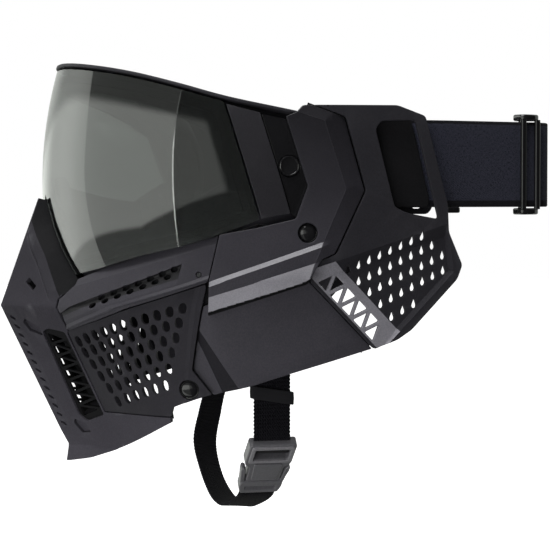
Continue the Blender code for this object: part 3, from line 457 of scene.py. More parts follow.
def flat_normals(bm):
    """Shading normal of each face corner of a flat slab: level on the faces, round over the rims."""
    out = []
    for f in bm.faces:
        fn = f.normal
        for v in f.verts:
            top = bot = False
            side = Vector((0, 0, 0))
            near = Vector((0, 0, 0))
            for g in v.link_faces:
                n = g.normal
                if n.z > 0.999:
                    top = True
                elif n.z < -0.999:
                    bot = True
                elif abs(n.z) < 0.02 and n.dot(Vector((fn.x, fn.y, 0)).normalized()) > 0.64:
                    side += n * g.calc_area()
                if n.dot(fn) > 0.64:
                    near += n * g.calc_area()
            if top and fn.z > 0.02:
                n = Vector((0, 0, 1))
            elif bot and fn.z < -0.02:
                n = Vector((0, 0, -1))
            elif side.length > 1e-9:
                n = side.normalized()
            else:
                n = near.normalized() if near.length > 1e-9 else fn
            out.append(n[:])
    return np.array(out)


def no_relief(s, z):
    return np.zeros(np.shape(s))


def bend(name, bm, form, mat, s_lines=(), z_lines=(), cuts=(), relief=no_relief, side=1, mirror=False, paint=None):
    """Split a flat slab along lines, bend it onto its form, raise its relief and shade it exactly."""
    bmesh.ops.dissolve_limit(bm, angle_limit=0.01, verts=bm.verts, edges=bm.edges)
    planes = [((c, 0, 0), (1, 0, 0)) for c in s_lines] + [((0, c, 0), (0, 1, 0)) for c in z_lines]
    for (a, b) in cuts:
        d = np.array([b[0] - a[0], b[1] - a[1]])
        planes.append(((a[0], a[1], 0), (-d[1], d[0], 0)))
        if mirror:
            planes.append(((-a[0], a[1], 0), (d[1], d[0], 0)))
    for co, no in planes:
        co = (co[0] * side, co[1], co[2])
        no = (no[0] * side, no[1], no[2])
        bmesh.ops.bisect_plane(bm, geom=bm.verts[:] + bm.edges[:] + bm.faces[:], dist=0.0005,
                               plane_co=co, plane_no=no)
    bmesh.ops.dissolve_degenerate(bm, edges=bm.edges, dist=0.001)
    bmesh.ops.triangulate(bm, faces=bm.faces)
    outward(bm)
    bm.verts.ensure_lookup_table()
    nf = flat_normals(bm)
    co = np.array([v.co[:] for v in bm.verts])
    idx = np.array([v.index for f in bm.faces for v in f.verts])
    cen = np.array([f.calc_center_median()[:] for f in bm.faces for _ in f.verts])
    s, z, h = co.T
    world = form(s, z, h + relief(np.abs(s), z))
    tone = None
    if paint is not None:
        mids = np.array([f.calc_center_median()[:] for f in bm.faces])
        tone = paint[1](np.abs(mids[:, 0]), mids[:, 1])
    p = co[idx]
    q = p + 0.06 * (cen - p)
    d = 0.01
    rs = (relief(np.abs(q[:, 0] + d), q[:, 1]) - relief(np.abs(q[:, 0] - d), q[:, 1])) / (2 * d)
    rz = (relief(np.abs(q[:, 0]), q[:, 1] + d) - relief(np.abs(q[:, 0]), q[:, 1] - d)) / (2 * d)
    s, z, h = p.T
    sq = np.where(np.abs(s) < 1.2, np.where(q[:, 0] < 0, -1.2, 1.2), s)
    fs = (form(sq + 0.6, z, h) - form(sq - 0.6, z, h)) / 1.2
    fz = (form(sq, z + 0.6, h) - form(sq, z - 0.6, h)) / 1.2
    n = np.cross(fs, fz)
    n /= np.linalg.norm(n, axis=1)[:, None]
    J = np.stack([fs + n * rs[:, None], fz + n * rz[:, None], n], 2)
    nw = np.einsum("nij,nj->ni", np.linalg.inv(J).transpose(0, 2, 1), nf)
    nw /= np.linalg.norm(nw, axis=1)[:, None]
    for v, w in zip(bm.verts, metres(world)):
        v.co = w
    me = bpy.data.meshes.new(name)
    bm.to_mesh(me)
    bm.free()
    me.shade_smooth()
    me.normals_split_custom_set([tuple(x) for x in nw])
    ob = place(name, me, mat, *([paint[0]] + list(paint[2:]) if paint else []))
    if tone is not None:
        me.polygons.foreach_set("material_index", tone.astype(np.int32))
    return ob


def place(name, me, mat, *more):
    me.materials.clear()
    for m in (mat,) + more:
        me.materials.append(MAT[m])
    ob = bpy.data.objects.new(name, me)
    SCENE.collection.objects.link(ob)
    PIECES[name] = ob
    return ob


def join_into(base, *others):
    """Puts the other pieces' meshes into base, keeping materials and shading."""
    with bpy.context.temp_override(active_object=base, object=base, selected_objects=[base, *others],
                                   selected_editable_objects=[base, *others]):
        for o in others:
            PIECES.pop(o.name, None)
        bpy.ops.object.join()
    return base


def side_pts(pts, side):
    return list(pts) if side > 0 else [(-s, z) for s, z in reversed(pts)]


def sides(holes, side):
    return [side_pts(h, side) for h in holes]


def both_sides(half):
    return list(half) + [(-s, z) for s, z in reversed(half[1:-1])]


def both_holes(holes):
    return list(holes) + [side_pts(h, -1) for h in holes]


def lines(a, b, step):
    n = max(1, int(round((b - a) / step)))
    return [a + (b - a) * i / n for i in range(n + 1)]


def ellipse(cx, cy, rx, ry, n=12, turn=0.0, start=0.0, power=2.0):
    out = []
    for i in range(n):
        t = start + 2 * math.pi * i / n
        c, s_ = math.cos(t), math.sin(t)
        x = rx * math.copysign(abs(c) ** (2 / power), c)
        y = ry * math.copysign(abs(s_) ** (2 / power), s_)
        out.append((cx + x * math.cos(turn) - y * math.sin(turn),
                    cy + x * math.sin(turn) + y * math.cos(turn)))
    return out


def teardrop(cx, cy, w, h):
    half = [(0.0, 0.60), (0.10, 0.42), (0.26, 0.18), (0.44, -0.06), (0.48, -0.22), (0.34, -0.38), (0.12, -0.45)]
    pts = [(cx - x * w, cy + y * h) for x, y in half] + [(cx + x * w, cy + y * h) for x, y in reversed(half[1:])]
    return pts


def round_corners(poly, r, n=3):
    """Polygon with every corner cut by a small arc of about radius r."""
    out = []
    k = len(poly)
    for i in range(k):
        p0, p1, p2 = (np.array(poly[(i + j) % k], float) for j in (-1, 0, 1))
        a, b = p0 - p1, p2 - p1
        la, lb = np.linalg.norm(a), np.linalg.norm(b)
        d = min(r, 0.42 * la, 0.42 * lb)
        qa, qb = p1 + a / la * d, p1 + b / lb * d
        for t in np.linspace(0, 1, n + 1):
            out.append(tuple((1 - t) ** 2 * qa + 2 * t * (1 - t) * p1 + t * t * qb))
    return out


def inset(poly, d):
    n = len(poly)
    sgn = 1.0 if area2(poly) > 0 else -1.0
    out = []
    for i in range(n):
        p0, p1, p2 = (np.array(poly[(i + k) % n], float) for k in (-1, 0, 1))
        u, v = p1 - p0, p2 - p1
        u, v = u / np.linalg.norm(u), v / np.linalg.norm(v)
        nu, nv = np.array([-u[1], u[0]]) * sgn, np.array([-v[1], v[0]]) * sgn
        out.append(tuple(p1 + (nu + nv) * d / (1 + nu @ nv)))
    return out


def truss(lt, lb, rt, rb, n, rib):
    L = [np.array(lt) + (np.array(lb) - np.array(lt)) * i / n for i in range(n + 1)]
    R = [np.array(rt) + (np.array(rb) - np.array(rt)) * i / n for i in range(n + 1)]
    tris = []
    for i in range(n):
        mid = (R[i] + R[i + 1]) / 2
        tris.append([tuple(L[i]), tuple(L[i + 1]), tuple(mid)])
        if i < n - 1:
            tris.append([tuple(mid), tuple(L[i + 1]), tuple((R[i + 1] + R[i + 2]) / 2)])
    return [round_corners(inset(t, rib / 2), 0.7, 2) for t in tris]


def rows(spec, shape):
    out = []
    for (x0, y0), (x1, y1), n in spec:
        for i in range(n):
            t = i / (n - 1)
            out.append(shape(x0 + (x1 - x0) * t, y0 + (y1 - y0) * t))
    return out


def dist(a, b):
    """Signed distance from the line through a and b, positive on its left."""
    d = np.array([b[0] - a[0], b[1] - a[1]], float)
    d /= np.linalg.norm(d)
    return lambda s, z: -(s - a[0]) * d[1] + (z - a[1]) * d[0]


def off_line(a, b, d):
    v = np.array([b[0] - a[0], b[1] - a[1]], float)
    v /= np.linalg.norm(v)
    n = np.array([v[1], -v[0]]) * d
    return ((a[0] + n[0], a[1] + n[1]), (b[0] + n[0], b[1] + n[1]))


def backing(name, run, left, right, h0, h1, side, mat="dark"):
    """Dark strip of painted shade behind a seam: a run of points widened to its left and right."""
    pts = np.array(run, float)
    t = np.gradient(pts, axis=0)
    t /= np.linalg.norm(t, axis=1)[:, None]
    nrm = np.stack([-t[:, 1], t[:, 0]], 1)
    poly = [tuple(p) for p in pts + nrm * left] + [tuple(p) for p in (pts - nrm * right)[::-1]]
    return bend(name, flat_slab(side_pts(poly, side), [], h0, h1, 0.2, 1), mask_form, mat, S_ALL, [-14.3, 0, 38.9], side=side)


def step01(x):
    return np.clip(x, 0.0, 1.0)


def shrink(half, d):
    full = both_sides(half)
    n = len(full)
    sgn = 1.0 if area2(full) > 0 else -1.0
    out = []
    for i in range(len(half)):
        p0, p1, p2 = (np.array(full[(i + k) % n], float) for k in (-1, 0, 1))
        u, v = p1 - p0, p2 - p1
        u, v = u / np.linalg.norm(u), v / np.linalg.norm(v)
        nu, nv = np.array([-u[1], u[0]]) * sgn, np.array([-v[1], v[0]]) * sgn
        q = p1 + (nu + nv) * d / (1 + nu @ nv)
        out.append((0.0 if i in (0, len(half) - 1) else q[0], q[1]))
    return out


def own(ob, body, nodes=()):
    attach(ob, body)
    if nodes:
        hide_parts(*nodes)
    return ob


S_FINE = lines(4, 248, 4)
S_ALL = [-v for v in S_FINE] + [0.0] + S_FINE
Z_FINE = [-88.4, -14.3, 38.9, -60, 0] + lines(-84, 84, 7)
Z_BULGE = lines(4, 104, 5)

# ================================================================== lens, seal and goggle frame
TOP = [(0, 107.4), (25, 106.7), (45, 105.1), (62, 103.0), (78, 100.2), (100, 95.0), (122.6, 88.8)]
BOTTOM = [(140.4, 30.4), (110, 19.6), (79, 12.2), (54, 6.0), (33, 2.2)]
NOTCH = [(22.6, 14.4), (13.4, 27.4), (6.4, 37.2), (0, 43.0)]


def eased(points, steps=6, lift=0.0):
    """Smooth run through a panel's edge points; the centre line is crossed level."""
    pts = [(-points[1][0], points[1][1])] + list(points) if points[0][0] == 0 else list(points)
    c = spline_through(pts, steps)
    c = c[steps:] if points[0][0] == 0 else c
    return [(float(x), float(y) + lift) for x, y in c]


LENS_EDGE = eased(TOP) + eased(BOTTOM, 4) + eased(NOTCH, 3)
LENS_EDGE[-1] = (0.0, 43.0)


def pane(name, edge, h0, h1, mat):
    """Closed pane on a fine grid between its lower and upper edges."""
    pts = np.array(both_sides(edge))
    rear = max(p[0] for p in edge)
    k = int(np.argmax([p[0] for p in edge]))
    up = np.array(sorted(edge[:k + 1]))
    low = np.array(sorted(edge[k:]))
    cols = np.concatenate([np.linspace(0, rear - 26, 60), np.linspace(rear - 26, rear - 0.4, 26)[1:]])
    cols = np.concatenate([-cols[::-1][:-1], cols])
    nz = 36
    zt = np.interp(np.abs(cols), up[:, 0], up[:, 1])
    zb = np.interp(np.abs(cols), low[:, 0], low[:, 1])
    t = np.linspace(0, 1, nz)
    S = np.repeat(cols[:, None], nz, 1)
    Z = zb[:, None] + (zt - zb)[:, None] * t[None]
    verts, norms = [], []
    for h, sg in ((h1, 1.0), (h0, -1.0)):
        P = lens_form(S, Z, h + 0 * S)
        N = lens_form(S, Z, h + 1 + 0 * S) - P
        N /= np.linalg.norm(N, axis=-1, keepdims=True)
        verts.append(P.reshape(-1, 3))
        norms.append(sg * N.reshape(-1, 3))
    V, N = np.vstack(verts), np.vstack(norms)
    nc = len(cols)
    off = nc * nz
    faces, fn = [], []
    at = lambda i, j: i * nz + j
    for i in range(nc - 1):
        for j in range(nz - 1):
            a, b, c, d = at(i, j), at(i + 1, j), at(i + 1, j + 1), at(i, j + 1)
            faces.append((a, b, c, d))
            fn += [N[x] for x in (a, b, c, d)]
            q = (a + off, d + off, c + off, b + off)
            faces.append(q)
            fn += [N[x] for x in q]
    loop = [at(i, 0) for i in range(nc)] + [at(nc - 1, j) for j in range(1, nz)] + \
           [at(i, nz - 1) for i in range(nc - 2, -1, -1)] + [at(0, j) for j in range(nz - 2, 0, -1)]
    for a, b in zip(loop, loop[1:] + loop[:1]):
        q = (b, a, a + off, b + off)
        faces.append(q)
        e = np.cross(V[b] - V[a], V[a + off] - V[a])
        e = -e / (np.linalg.norm(e) + 1e-12)
        e = e if e @ (V[a] - V[:off].mean(0)) > 0 else -e
        fn += [e] * 4
    me = bpy.data.meshes.new(name)
    me.from_pydata([tuple(v) for v in metres(V)], [], faces)
    me.shade_smooth()
    me.normals_split_custom_set([tuple(x) for x in fn])
    return place(name, me, mat)


own(pane("smoke_lens_outer", LENS_EDGE, -LENS_T, 0.0, "lens"), "mask", ["outer_lens"])
P0 = -LENS_T - PANE_GAP
own(pane("clear_lens_inner", shrink(LENS_EDGE, 2.5), P0 - INNER_PANE_T, P0, "pane"), "mask", ["inner_lens"])
own(bend("lens_seal", flat_slab(both_sides(shrink(LENS_EDGE, 2.8)), [both_sides(shrink(LENS_EDGE, 6.5))], P0 + 0.6, -LENS_T - 0.6, 0.3),
         lens_form, "gasket", S_ALL, Z_BULGE), "mask", ["lens_gasket"])

FRAME_TOP = [(0, 110.4), (25, 109.7), (45, 108.1), (62, 106.0), (78, 103.2), (100, 98.0), (124, 91.6), (160, 84.4)]
FRAME_REST = [(172, 79), (182.5, 46), (172, 22), (141, 27.4), (110, 16.6), (79, 9.4),
              (54, 2.8), (31, -2.4), (20, 10), (11, 23), (5, 32.5), (0, 37.5)]
FRAME_OPEN = [(0, 97), (25, 96.6), (50, 95), (78, 90), (99, 83), (114, 75), (125, 50), (98, 35),
              (79, 23), (57, 15), (39, 12), (29, 19), (18, 33), (8, 48), (0, 52)]
FRAME_H = (-11.6, P0 - INNER_PANE_T - 0.9)
ftop = eased(FRAME_TOP)
frame_ob = bend("goggle_frame_shell", flat_slab(both_sides(ftop + FRAME_REST), [both_sides(FRAME_OPEN)], *FRAME_H, 0.9, 2),
                lens_form, "frame", S_ALL, Z_BULGE)
lip_top = eased(FRAME_TOP)
lip_low = [(s, z - 1.7) for s, z in eased(FRAME_TOP)]
lip = bend("brow_lip", flat_slab(both_sides(lip_top + lip_low[::-1]), [], FRAME_H[1] - 2.0, 0.9, 0.55, 2),
           lens_form, "ear", S_ALL, [])
join_into(frame_ob, lip)
own(frame_ob, "mask", ["goggle_frame"])

BUTTON = (155.6, 57.0)
BUTTON_R = 5.2
for side, tag in ((1, "L"), (-1, "R")):
    trim = side_pts([(124.0, 87.6), (141.0, 83.4), (156.0, 33.6), (141.4, 31.0)], side)
    own(bend(f"end_trim_plate_{tag}", flat_slab(trim, [], -1.4, 0.3, 0.35), lens_form, "trim", S_ALL, Z_BULGE, side=side),
        "mask", [f"lens_end_trim_{tag}"])
    latch = side_pts([(141.8, 83.0), (159.0, 79.6), (168.4, 47.4), (162.0, 29.4), (156.8, 33.2)], side)
    hole = side_pts(ellipse(BUTTON[0], BUTTON[1], BUTTON_R + 0.3, BUTTON_R + 0.3, 40), side)
    own(bend(f"latch_plate_{tag}", flat_slab(latch, [hole], -4.6, -0.8, 0.3, 2), lens_form, "latch", S_ALL, Z_BULGE, side=side),
        "mask", [f"lens_latch_{tag}"])

# ================================================================== temple covers
COVER = [(122.9, 0.4), (128.2, 23.0), (147.0, 26.4), (165.9, 30.8), (171.9, 47.1), (161.0, 81.6),
         (166.4, 83.9), (169.6, 87.2), (173.9, 87.4), (190.6, 81.2), (201.0, 44.7),
         (185.8, 13.5), (178.5, 10.8), (174.0, 4.0), (171.0, -0.9), (122.8, -16.6)]
STUD, PANEL_STUD, SCREW = (171.7, 23.8), (110.9, -54.4), (117.5, 3.1)
STUD_R = 4.6
L0 = ((122.9, -0.2), (177.7, 18.8))       # up-facing ledge under the main facet
L1 = ((124.1, -7.2), (178.0, 9.8))        # rail, painted lighter as a painted highlight: its upper and lower edges
L2 = ((122.2, -15.4), (170.9, -1.1))
CR = [(180.0, 20.3), (190.9, 45.8), (180.2, 79.3), (166.9, 83.7)]
d0, d1, d2 = dist(*L0), dist(*L1), dist(*L2)
c1, c2, c3 = dist(CR[0], CR[1]), dist(CR[1], CR[2]), dist(CR[2], CR[3])
rim_lines = [(CR[0], CR[1]), (CR[1], CR[2]), (CR[2], CR[3])]


RAIL = 6.4


def cover_relief(s, z):
    beyond = np.maximum.reduce([-c1(s, z), -c2(s, z), -c3(s, z), 0 * s])
    ledge = 1.9 * step01(-d0(s, z) / 2.1)
    width = np.maximum(d1(s, z) - d2(s, z), 1.0)
    rail = 3.7 * step01(-d1(s, z) / RAIL)
    under = -1.8 * step01((-d1(s, z) - RAIL - 0.4) / 1.2)
    low = ledge + rail + under
    front = np.where(s < 182.0, low, 0 * s)
    fade = step01((186.0 - s - 0.45 * (z - 13.0)) / 6.0)
    near = np.maximum.reduce([-c1(s, z), -c2(s, z), -c3(s, z)])
    bead = 0.10 * np.maximum(0.0, 1 - np.abs(near) / 0.35)
    return front * fade - 0.34 * beyond + bead + 0.0 * width


COVER_ENDS = [([(123.4, -16.0), (123.4, -7.6), (124.6, -7.2), (124.6, -15.6)], 4.9),
              ([(123.4, -8.0), (123.4, -0.6), (124.6, -0.4), (124.6, -7.6)], 2.9),
              ([(123.4, -1.0), (123.5, 0.4), (128.6, 22.2), (129.8, 22.4), (124.7, 0.4), (124.6, -0.8)], 1.1)]
cover_cuts = [L0, off_line(*L0, 2.1), L1, off_line(*L1, RAIL), off_line(*L1, RAIL + 0.4), off_line(*L1, RAIL + 1.6)] + rim_lines + [
    off_line(a, b, d) for a, b in rim_lines for d in (-0.35, 0.35)] + [
    ((190.9, 45.8), (201.0, 44.7)), ((180.2, 79.3), (190.6, 92.0))]
for side, tag in ((1, "L"), (-1, "R")):
    cover = flat_slab(side_pts(round_corners(COVER, 0.8, 2), side), sides([ellipse(*STUD, 5.0, 5.0, 32)], side), 0.8, 4.0, 0.4, 2)
    # Paint: slot 1 (dark) is painted shade on the band below the rail, slot 2 (rail) a painted highlight on the rail
    # and ledge
    shell = bend(f"temple_shell_{tag}", cover, mask_form, "frame", S_ALL, Z_FINE, cover_cuts, cover_relief, side,
                 paint=("dark", lambda s, z: np.where((-d1(s, z) > RAIL + 0.2) & (s < 180.0), 1,
                                                      np.where((((d1(s, z) < 0.0) | ((d0(s, z) < 0.0) & (d0(s, z) > -2.1))) & (s < 178.0) & (c1(s, z) > 0.6)), 2, 0)), "rail"))
    # Seam strips and stud back below: dark material as painted shade in the seams and behind the stud hole
    seam_a = backing(f"seam_a_{tag}", [(172.0, 86.4), (190.0, 80.4), (201.4, 44.8), (186.3, 13.2), (180.0, 10.6)], 2.4, 2.4, -3.4, -2.4, side)
    seam_b = backing(f"seam_b_{tag}", [(120.8, -10.8), (124.0, 6.0), (128.0, 20.6)], 3.0, 3.0, -3.4, -2.4, side)
    cap = bend(f"stud_back_{tag}", flat_slab(side_pts(ellipse(*STUD, 6.2, 6.2, 24), side), [], -1.6, -0.8, 0.2, 1), mask_form, "dark", [], [], side=side)
    ends = [bend(f"cover_end{k}_{tag}", flat_slab(side_pts(poly, side), [], -3.2, top, 0.2, 1), mask_form, "dark", S_ALL, [-14.3, 0], side=side)
            for k, (poly, top) in enumerate(COVER_ENDS)]
    own(join_into(shell, seam_a, seam_b, cap, *ends), "mask", [f"temple_cover_{tag}"])

# ================================================================== lower bezel
BEZEL = [(47.4, -3.2), (46.6, 0.4), (62, 6.6), (83.3, 12.6), (100, 16.6), (117.7, 20.0), (127.6, 22.4),
         (122.3, 0.0), (121.2, -0.8), (108, -5.2), (88, -11.8), (64, -19.4), (42.2, -25.2), (40.4, -10.4)]
POCKET = [(57.4, -16.6), (59.3, -11.2), (70.0, -7.0), (107.0, 7.6), (109.6, 6.8), (106.4, 0.0), (103.6, -1.6)]
VENT_AT = [((62.0, -12.8), (100.6, 1.9), 7), ((65.6, -8.6), (104.0, 5.8), 7)]
BLOW = ((42.2, -22.4), (121.6, 2.5))
bl = dist(*BLOW)
BUP = ((52.0, -2.6), (126.0, 18.2))
bu = dist(*BUP)


PT = [(56.8, -10.8), (70.0, -5.8), (106.6, 7.8)]
PB = ((56.4, -16.4), (104.0, -2.2))
PE = ((108.6, 9.6), (105.6, -3.2))
pt1, pt2, pb, pe = dist(PT[0], PT[1]), dist(PT[1], PT[2]), dist(*PB), dist(*PE)


def bezel_relief(s, z):
    lip = 1.3 * step01(-bl(s, z) / 1.3) - 0.7 * step01((-bl(s, z) - 1.9) / 0.5)
    under = np.minimum(-pt1(s, z), -pt2(s, z)) / 0.4
    ahead = -pe(s, z) / 0.9
    sunk = np.minimum.reduce([step01(under), step01(pb(s, z) / 6.6), step01(ahead)])
    return lip - 0.42 * np.maximum(bu(s, z), 0.0) - 2.0 * sunk


def below(line, d):
    return ((line[0][0], line[0][1] - d), (line[1][0], line[1][1] - d))


bezel_cuts = [(PT[0], PT[1]), (PT[1], PT[2]), PB, PE, off_line(PT[0], PT[1], 0.4), off_line(PT[1], PT[2], 0.4),
              off_line(PE[0], PE[1], 0.9), off_line(PB[0], PB[1], -6.6), off_line(PB[0], PB[1], -2.4), BLOW, below(BLOW, 1.36), below(BLOW, 2.0), below(BLOW, 2.55), BUP]
vents = rows(VENT_AT, lambda x, y: ellipse(x, y, 1.95, 1.3, 12, 0.35, 0.0, 2.4))
for side, tag in ((1, "L"), (-1, "R")):
    slab = flat_slab(side_pts(round_corners(BEZEL, 0.7, 2), side),
                     sides(vents + [ellipse(*SCREW, 1.5, 1.5, 16)], side), -1.4, 1.4, 0.3, 1)
    # Paint: the sunk vent pocket gets the black truss plastic as painted shade
    base = bend(f"bezel_shell_{tag}", slab, mask_form, "frame", S_ALL, Z_FINE, bezel_cuts, bezel_relief, side,
                paint=("truss", lambda s, z: (np.minimum.reduce([-pt1(s, z), -pt2(s, z), pb(s, z) - 2.4, -pe(s, z)]) > 0.0)))
    # Tray, seam strip and nose fill below: dark material as painted shade behind the vents and seams
    tray = backing(f"bezel_tray_{tag}", [(45.4, -20.0), (62.0, -14.0), (88.0, -5.4), (112.0, 2.6), (123.4, 7.0)], 9.5, 6.0, -3.4, -2.7, side)
    seam = backing(f"bezel_seam_{tag}", [(43.0, -25.6), (64, -19.6), (88, -12.0), (108, -5.4), (120.6, -1.2)], 4.0, 1.0, -4.2, -3.2, side)
    nose = [(38.0, -26.4), (36.4, -10.4), (42.0, -2.4), (42.0, 1.8), (46.0, 3.6), (60.0, 8.8), (63.0, 5.0), (51.0, -1.0), (50.0, -6.0), (44.0, -12.0), (45.0, -26.4)]
    nose = bend(f"bezel_nose_{tag}", flat_slab(side_pts(nose, side), [], -7.0, -6.2, 0.2, 1), mask_form, "dark", S_ALL, [-14.3, 0], side=side)
    join_into(base, tray, seam, nose)
    own(base, "mask", [f"lower_bezel_{tag}"])

# ================================================================== face guard
SHROUD = [(0, 41.0), (3.6, 40.6), (11.2, 32.2), (18.4, 24.4), (30.3, 12.3), (43.4, 0.5), (45.8, -3.4),
          (38.4, -10.4), (39.6, -26.2), (38.3, -28), (38.6, -68.4), (94.6, -68.9), (93.7, -71.6), (16.5, -93.2),
          (0.0, -95.6)]
STRIP = [(21.4, -27.4), (26.4, -25.4), (37.0, -27.0), (37.2, -69.8), (22.6, -73.8), (19.0, -70.6)]
FRONT_TRI = truss((22.6, -27.6), (20.2, -72.6), (34.6, -28.2), (36.4, -70.2), 7, 1.2)
SLOT = [(12.4, -2.2), (13.8, 0.2), (20.6, -4.0), (19.2, -6.4)]
NOTCH_A = [(11.0, -22.4), (13.2, -20.6), (21.3, -25.0), (20.6, -29.4), (12.4, -27.0)]
NOTCH_B = [(12.6, -75.4), (14.6, -72.8), (21.0, -75.0), (21.6, -79.6), (15.0, -80.4)]
e1 = dist((3.6, 40.6), (11.2, 32.2))
e2 = dist((11.2, 32.2), (18.4, 24.4))
e3 = dist((18.4, 24.4), (30.3, 12.3))
e4 = dist((30.3, 12.3), (43.4, 0.5))
e5 = dist((43.4, 0.5), (45.8, -3.4))


def rear_depth(s, z):
    return -np.maximum.reduce([e2(s, z), e3(s, z), e4(s, z)])


def shroud_relief(s, z):
    d = rear_depth(s, z)
    on = step01((z + 12.0) / 6.0) * step01((s - 0.5) / 10.0)
    rim = np.interp(d, [-3, 0, 7.2, 12.6, 13.4, 14.2], [-5.2, -4.2, 1.3, 0.4, -0.7, 0.0]) * on
    lower = dist((0, -79.0), (40, -68.0))
    lip = 2.6 * step01((-87.0 - z) / 5.0) * step01((22.0 - s) / 10.0)
    return rim + lip - 0.05 * np.maximum(-lower(s, z), 0.0)


EDGE_RUN = [(11.2, 32.2), (18.4, 24.4), (30.3, 12.3), (43.4, 0.5)]
rim_cuts = []
for a, b in zip(EDGE_RUN[:-1], EDGE_RUN[1:]):
    for d in (7.2, 12.6, 13.4, 14.2):
        rim_cuts.append(off_line(a, b, d))
rim_cuts += [((18.4, 24.4), (17.7, 23.7)), ((30.3, 12.3), (29.6, 11.6))]


def pocket(bm, polys, h_floor, h_top):
    """Blind pockets pressed into a flat slab."""
    me = bpy.data.meshes.new("base")
    bm.to_mesh(me)
    bm.free()
    base = bpy.data.objects.new("base", me)
    SCENE.collection.objects.link(base)
    cutters = []
    for k, poly in enumerate(polys):
        cb = flat_slab(poly, [], h_floor, h_top, 0.02, 0)
        cm = bpy.data.meshes.new("cut")
        outward(cb)
        cb.to_mesh(cm)
        cb.free()
        cu = bpy.data.objects.new("cut", cm)
        SCENE.collection.objects.link(cu)
        md = base.modifiers.new("cut%d" % k, "BOOLEAN")
        md.operation = "DIFFERENCE"
        md.solver = "EXACT"
        md.object = cu
        cutters.append(cu)
    bpy.context.view_layer.update()
    me2 = bpy.data.meshes.new_from_object(base.evaluated_get(bpy.context.evaluated_depsgraph_get()))
    for o in [base] + cutters:
        bpy.data.objects.remove(o, do_unlink=True)
    out = bmesh.new()
    out.from_mesh(me2)
    return out


dents = [ellipse(4.6 + 0.02 * (i % 2), -20.5 - 4.6 * i, 1.9, 0.85, 10, -0.45, power=2.6) for i in range(13)]
guard_flat = flat_slab(both_sides(SHROUD), both_holes([round_corners(STRIP, 1.5, 3), round_corners(SLOT, 0.6, 2)]), -2.4, 0.4, 0.35, 2)
guard_flat = pocket(guard_flat, both_holes([round_corners(NOTCH_A, 0.7, 2), round_corners(NOTCH_B, 0.7, 2)] + dents), -1.5, 2.0)
# Paint: slot 1 puts the dark material on the lens-facing wall as painted shade
guard = bend("face_guard_shell", guard_flat, mask_form, "guard", S_ALL + [0.5, 10.5, -0.5, -10.5], Z_FINE + [-6, -12], rim_cuts + [((0, -79.0), (40, -68.0)), ((0, -87.0), (9, -87.0)), ((12, 0), (12, 9)), ((22, 0), (22, 9))], shroud_relief, mirror=True,
             paint=("dark", lambda s, z: (rear_depth(s, z) < 7.2) & (z > -8.0) & (s > 0.6)))
ribs = flat_slab(side_pts(inset(STRIP, -1.4), 1), FRONT_TRI, -2.6, -0.9, 0.3, 1)
ribs_ob = bend("front_ribs_L", ribs, mask_form, "dark", S_ALL, Z_FINE)
ribs2 = flat_slab(side_pts(inset(STRIP, -1.4), -1), sides(FRONT_TRI, -1), -2.6, -0.9, 0.3, 1)
ribs_ob2 = bend("front_ribs_R", ribs2, mask_form, "dark", S_ALL, Z_FINE, side=-1)
guard_seams = []
for side, tag in ((1, "L"), (-1, "R")):
    # Seam and sill strips: dark material as painted shade along the guard's seams
    guard_seams.append(backing(f"guard_seam_{tag}", [(38.7, -27.2), (38.75, -48.0), (38.8, -68.2)], 1.3, 1.3, -3.6, -2.9, side))
    guard_seams.append(backing(f"guard_sill_{tag}", [(38.0, -68.3), (66.0, -68.5), (95.0, -68.7)], 1.4, 1.4, -3.6, -2.9, side))
join_into(guard, ribs_ob, ribs_ob2, *guard_seams)
own(guard, "mask", ["face_guard"])

PANEL = [(39.0, -27.4), (40.2, -25.8), (64, -19.9), (88, -12.3), (108, -5.8), (121.0, -1.5), (121.4, -3.4),
         (113.6, -44.4), (124.8, -56.6), (98.2, -63.5), (95.0, -68.3), (39.0, -67.9)]
HOLE_AT = [((42.6, -31.6), (109.0, -13.6), 11), ((43.6, -37.3), (106.7, -20.9), 10),
           ((45.6, -43.2), (104.3, -28.4), 9), ((47.6, -49.3), (101.0, -35.9), 8),
           ((50.0, -55.4), (97.8, -44.0), 7), ((52.4, -62.0), (93.8, -52.6), 6)]
PW = ((116.0, -2.0), (109.5, -42.0))
pw = dist(*PW)


def vent_relief(s, z):
    return 0.9 * step01((pw(s, z)) / 2.4)


for side, tag in ((1, "L"), (-1, "R")):
    holes = rows(HOLE_AT, lambda x, y: ellipse(x + 1.0, y, 2.05, 2.75, 12, 0.0, math.pi / 6, 2.4))
    slab = flat_slab(side_pts(round_corners(PANEL, 0.6, 2), side),
                     sides(holes + [ellipse(*PANEL_STUD, 6.5, 5.0, 32)], side), -2.4, 0.0, 0.3, 1)
    shell = bend(f"vent_shell_{tag}", slab, mask_form, "vent", S_ALL, Z_FINE, [PW, off_line(*PW, -2.4)], vent_relief, side)
    # Dark disc behind the stud hole: painted shade
    cap = bend(f"panel_back_{tag}", flat_slab(side_pts(ellipse(*PANEL_STUD, 7.4, 6.0, 24), side), [], -4.6, -3.8, 0.2, 1), mask_form, "dark", [], [], side=side)
    own(join_into(shell, cap), "mask", [f"vent_panel_{tag}"])

JAW = [(120.4, -12.6), (170.8, 0.3), (173.0, -0.6), (206.5, -34.7), (163.9, -47.1), (146.2, -52.5),
       (125.8, -57.3), (113.9, -44.8)]
JA = ((116.6, -29.2), (131.4, -57.6))        # diagonal facet: lower-front and upper-rear edges
JB = ((119.4, -26.4), (139.6, -55.4))
ja, jb = dist(*JA), dist(*JB)
JC = ((140.0, -47.6), (205.6, -28.0))
jc = dist(*JC)


def jaw_relief(s, z):
    t = step01(ja(s, z) / np.maximum(ja(s, z) - jb(s, z), 0.4))
    return -2.2 * (1 - t) - 0.10 * np.maximum(-jc(s, z), 0.0) * step01((s - 150.0) / 4.0)


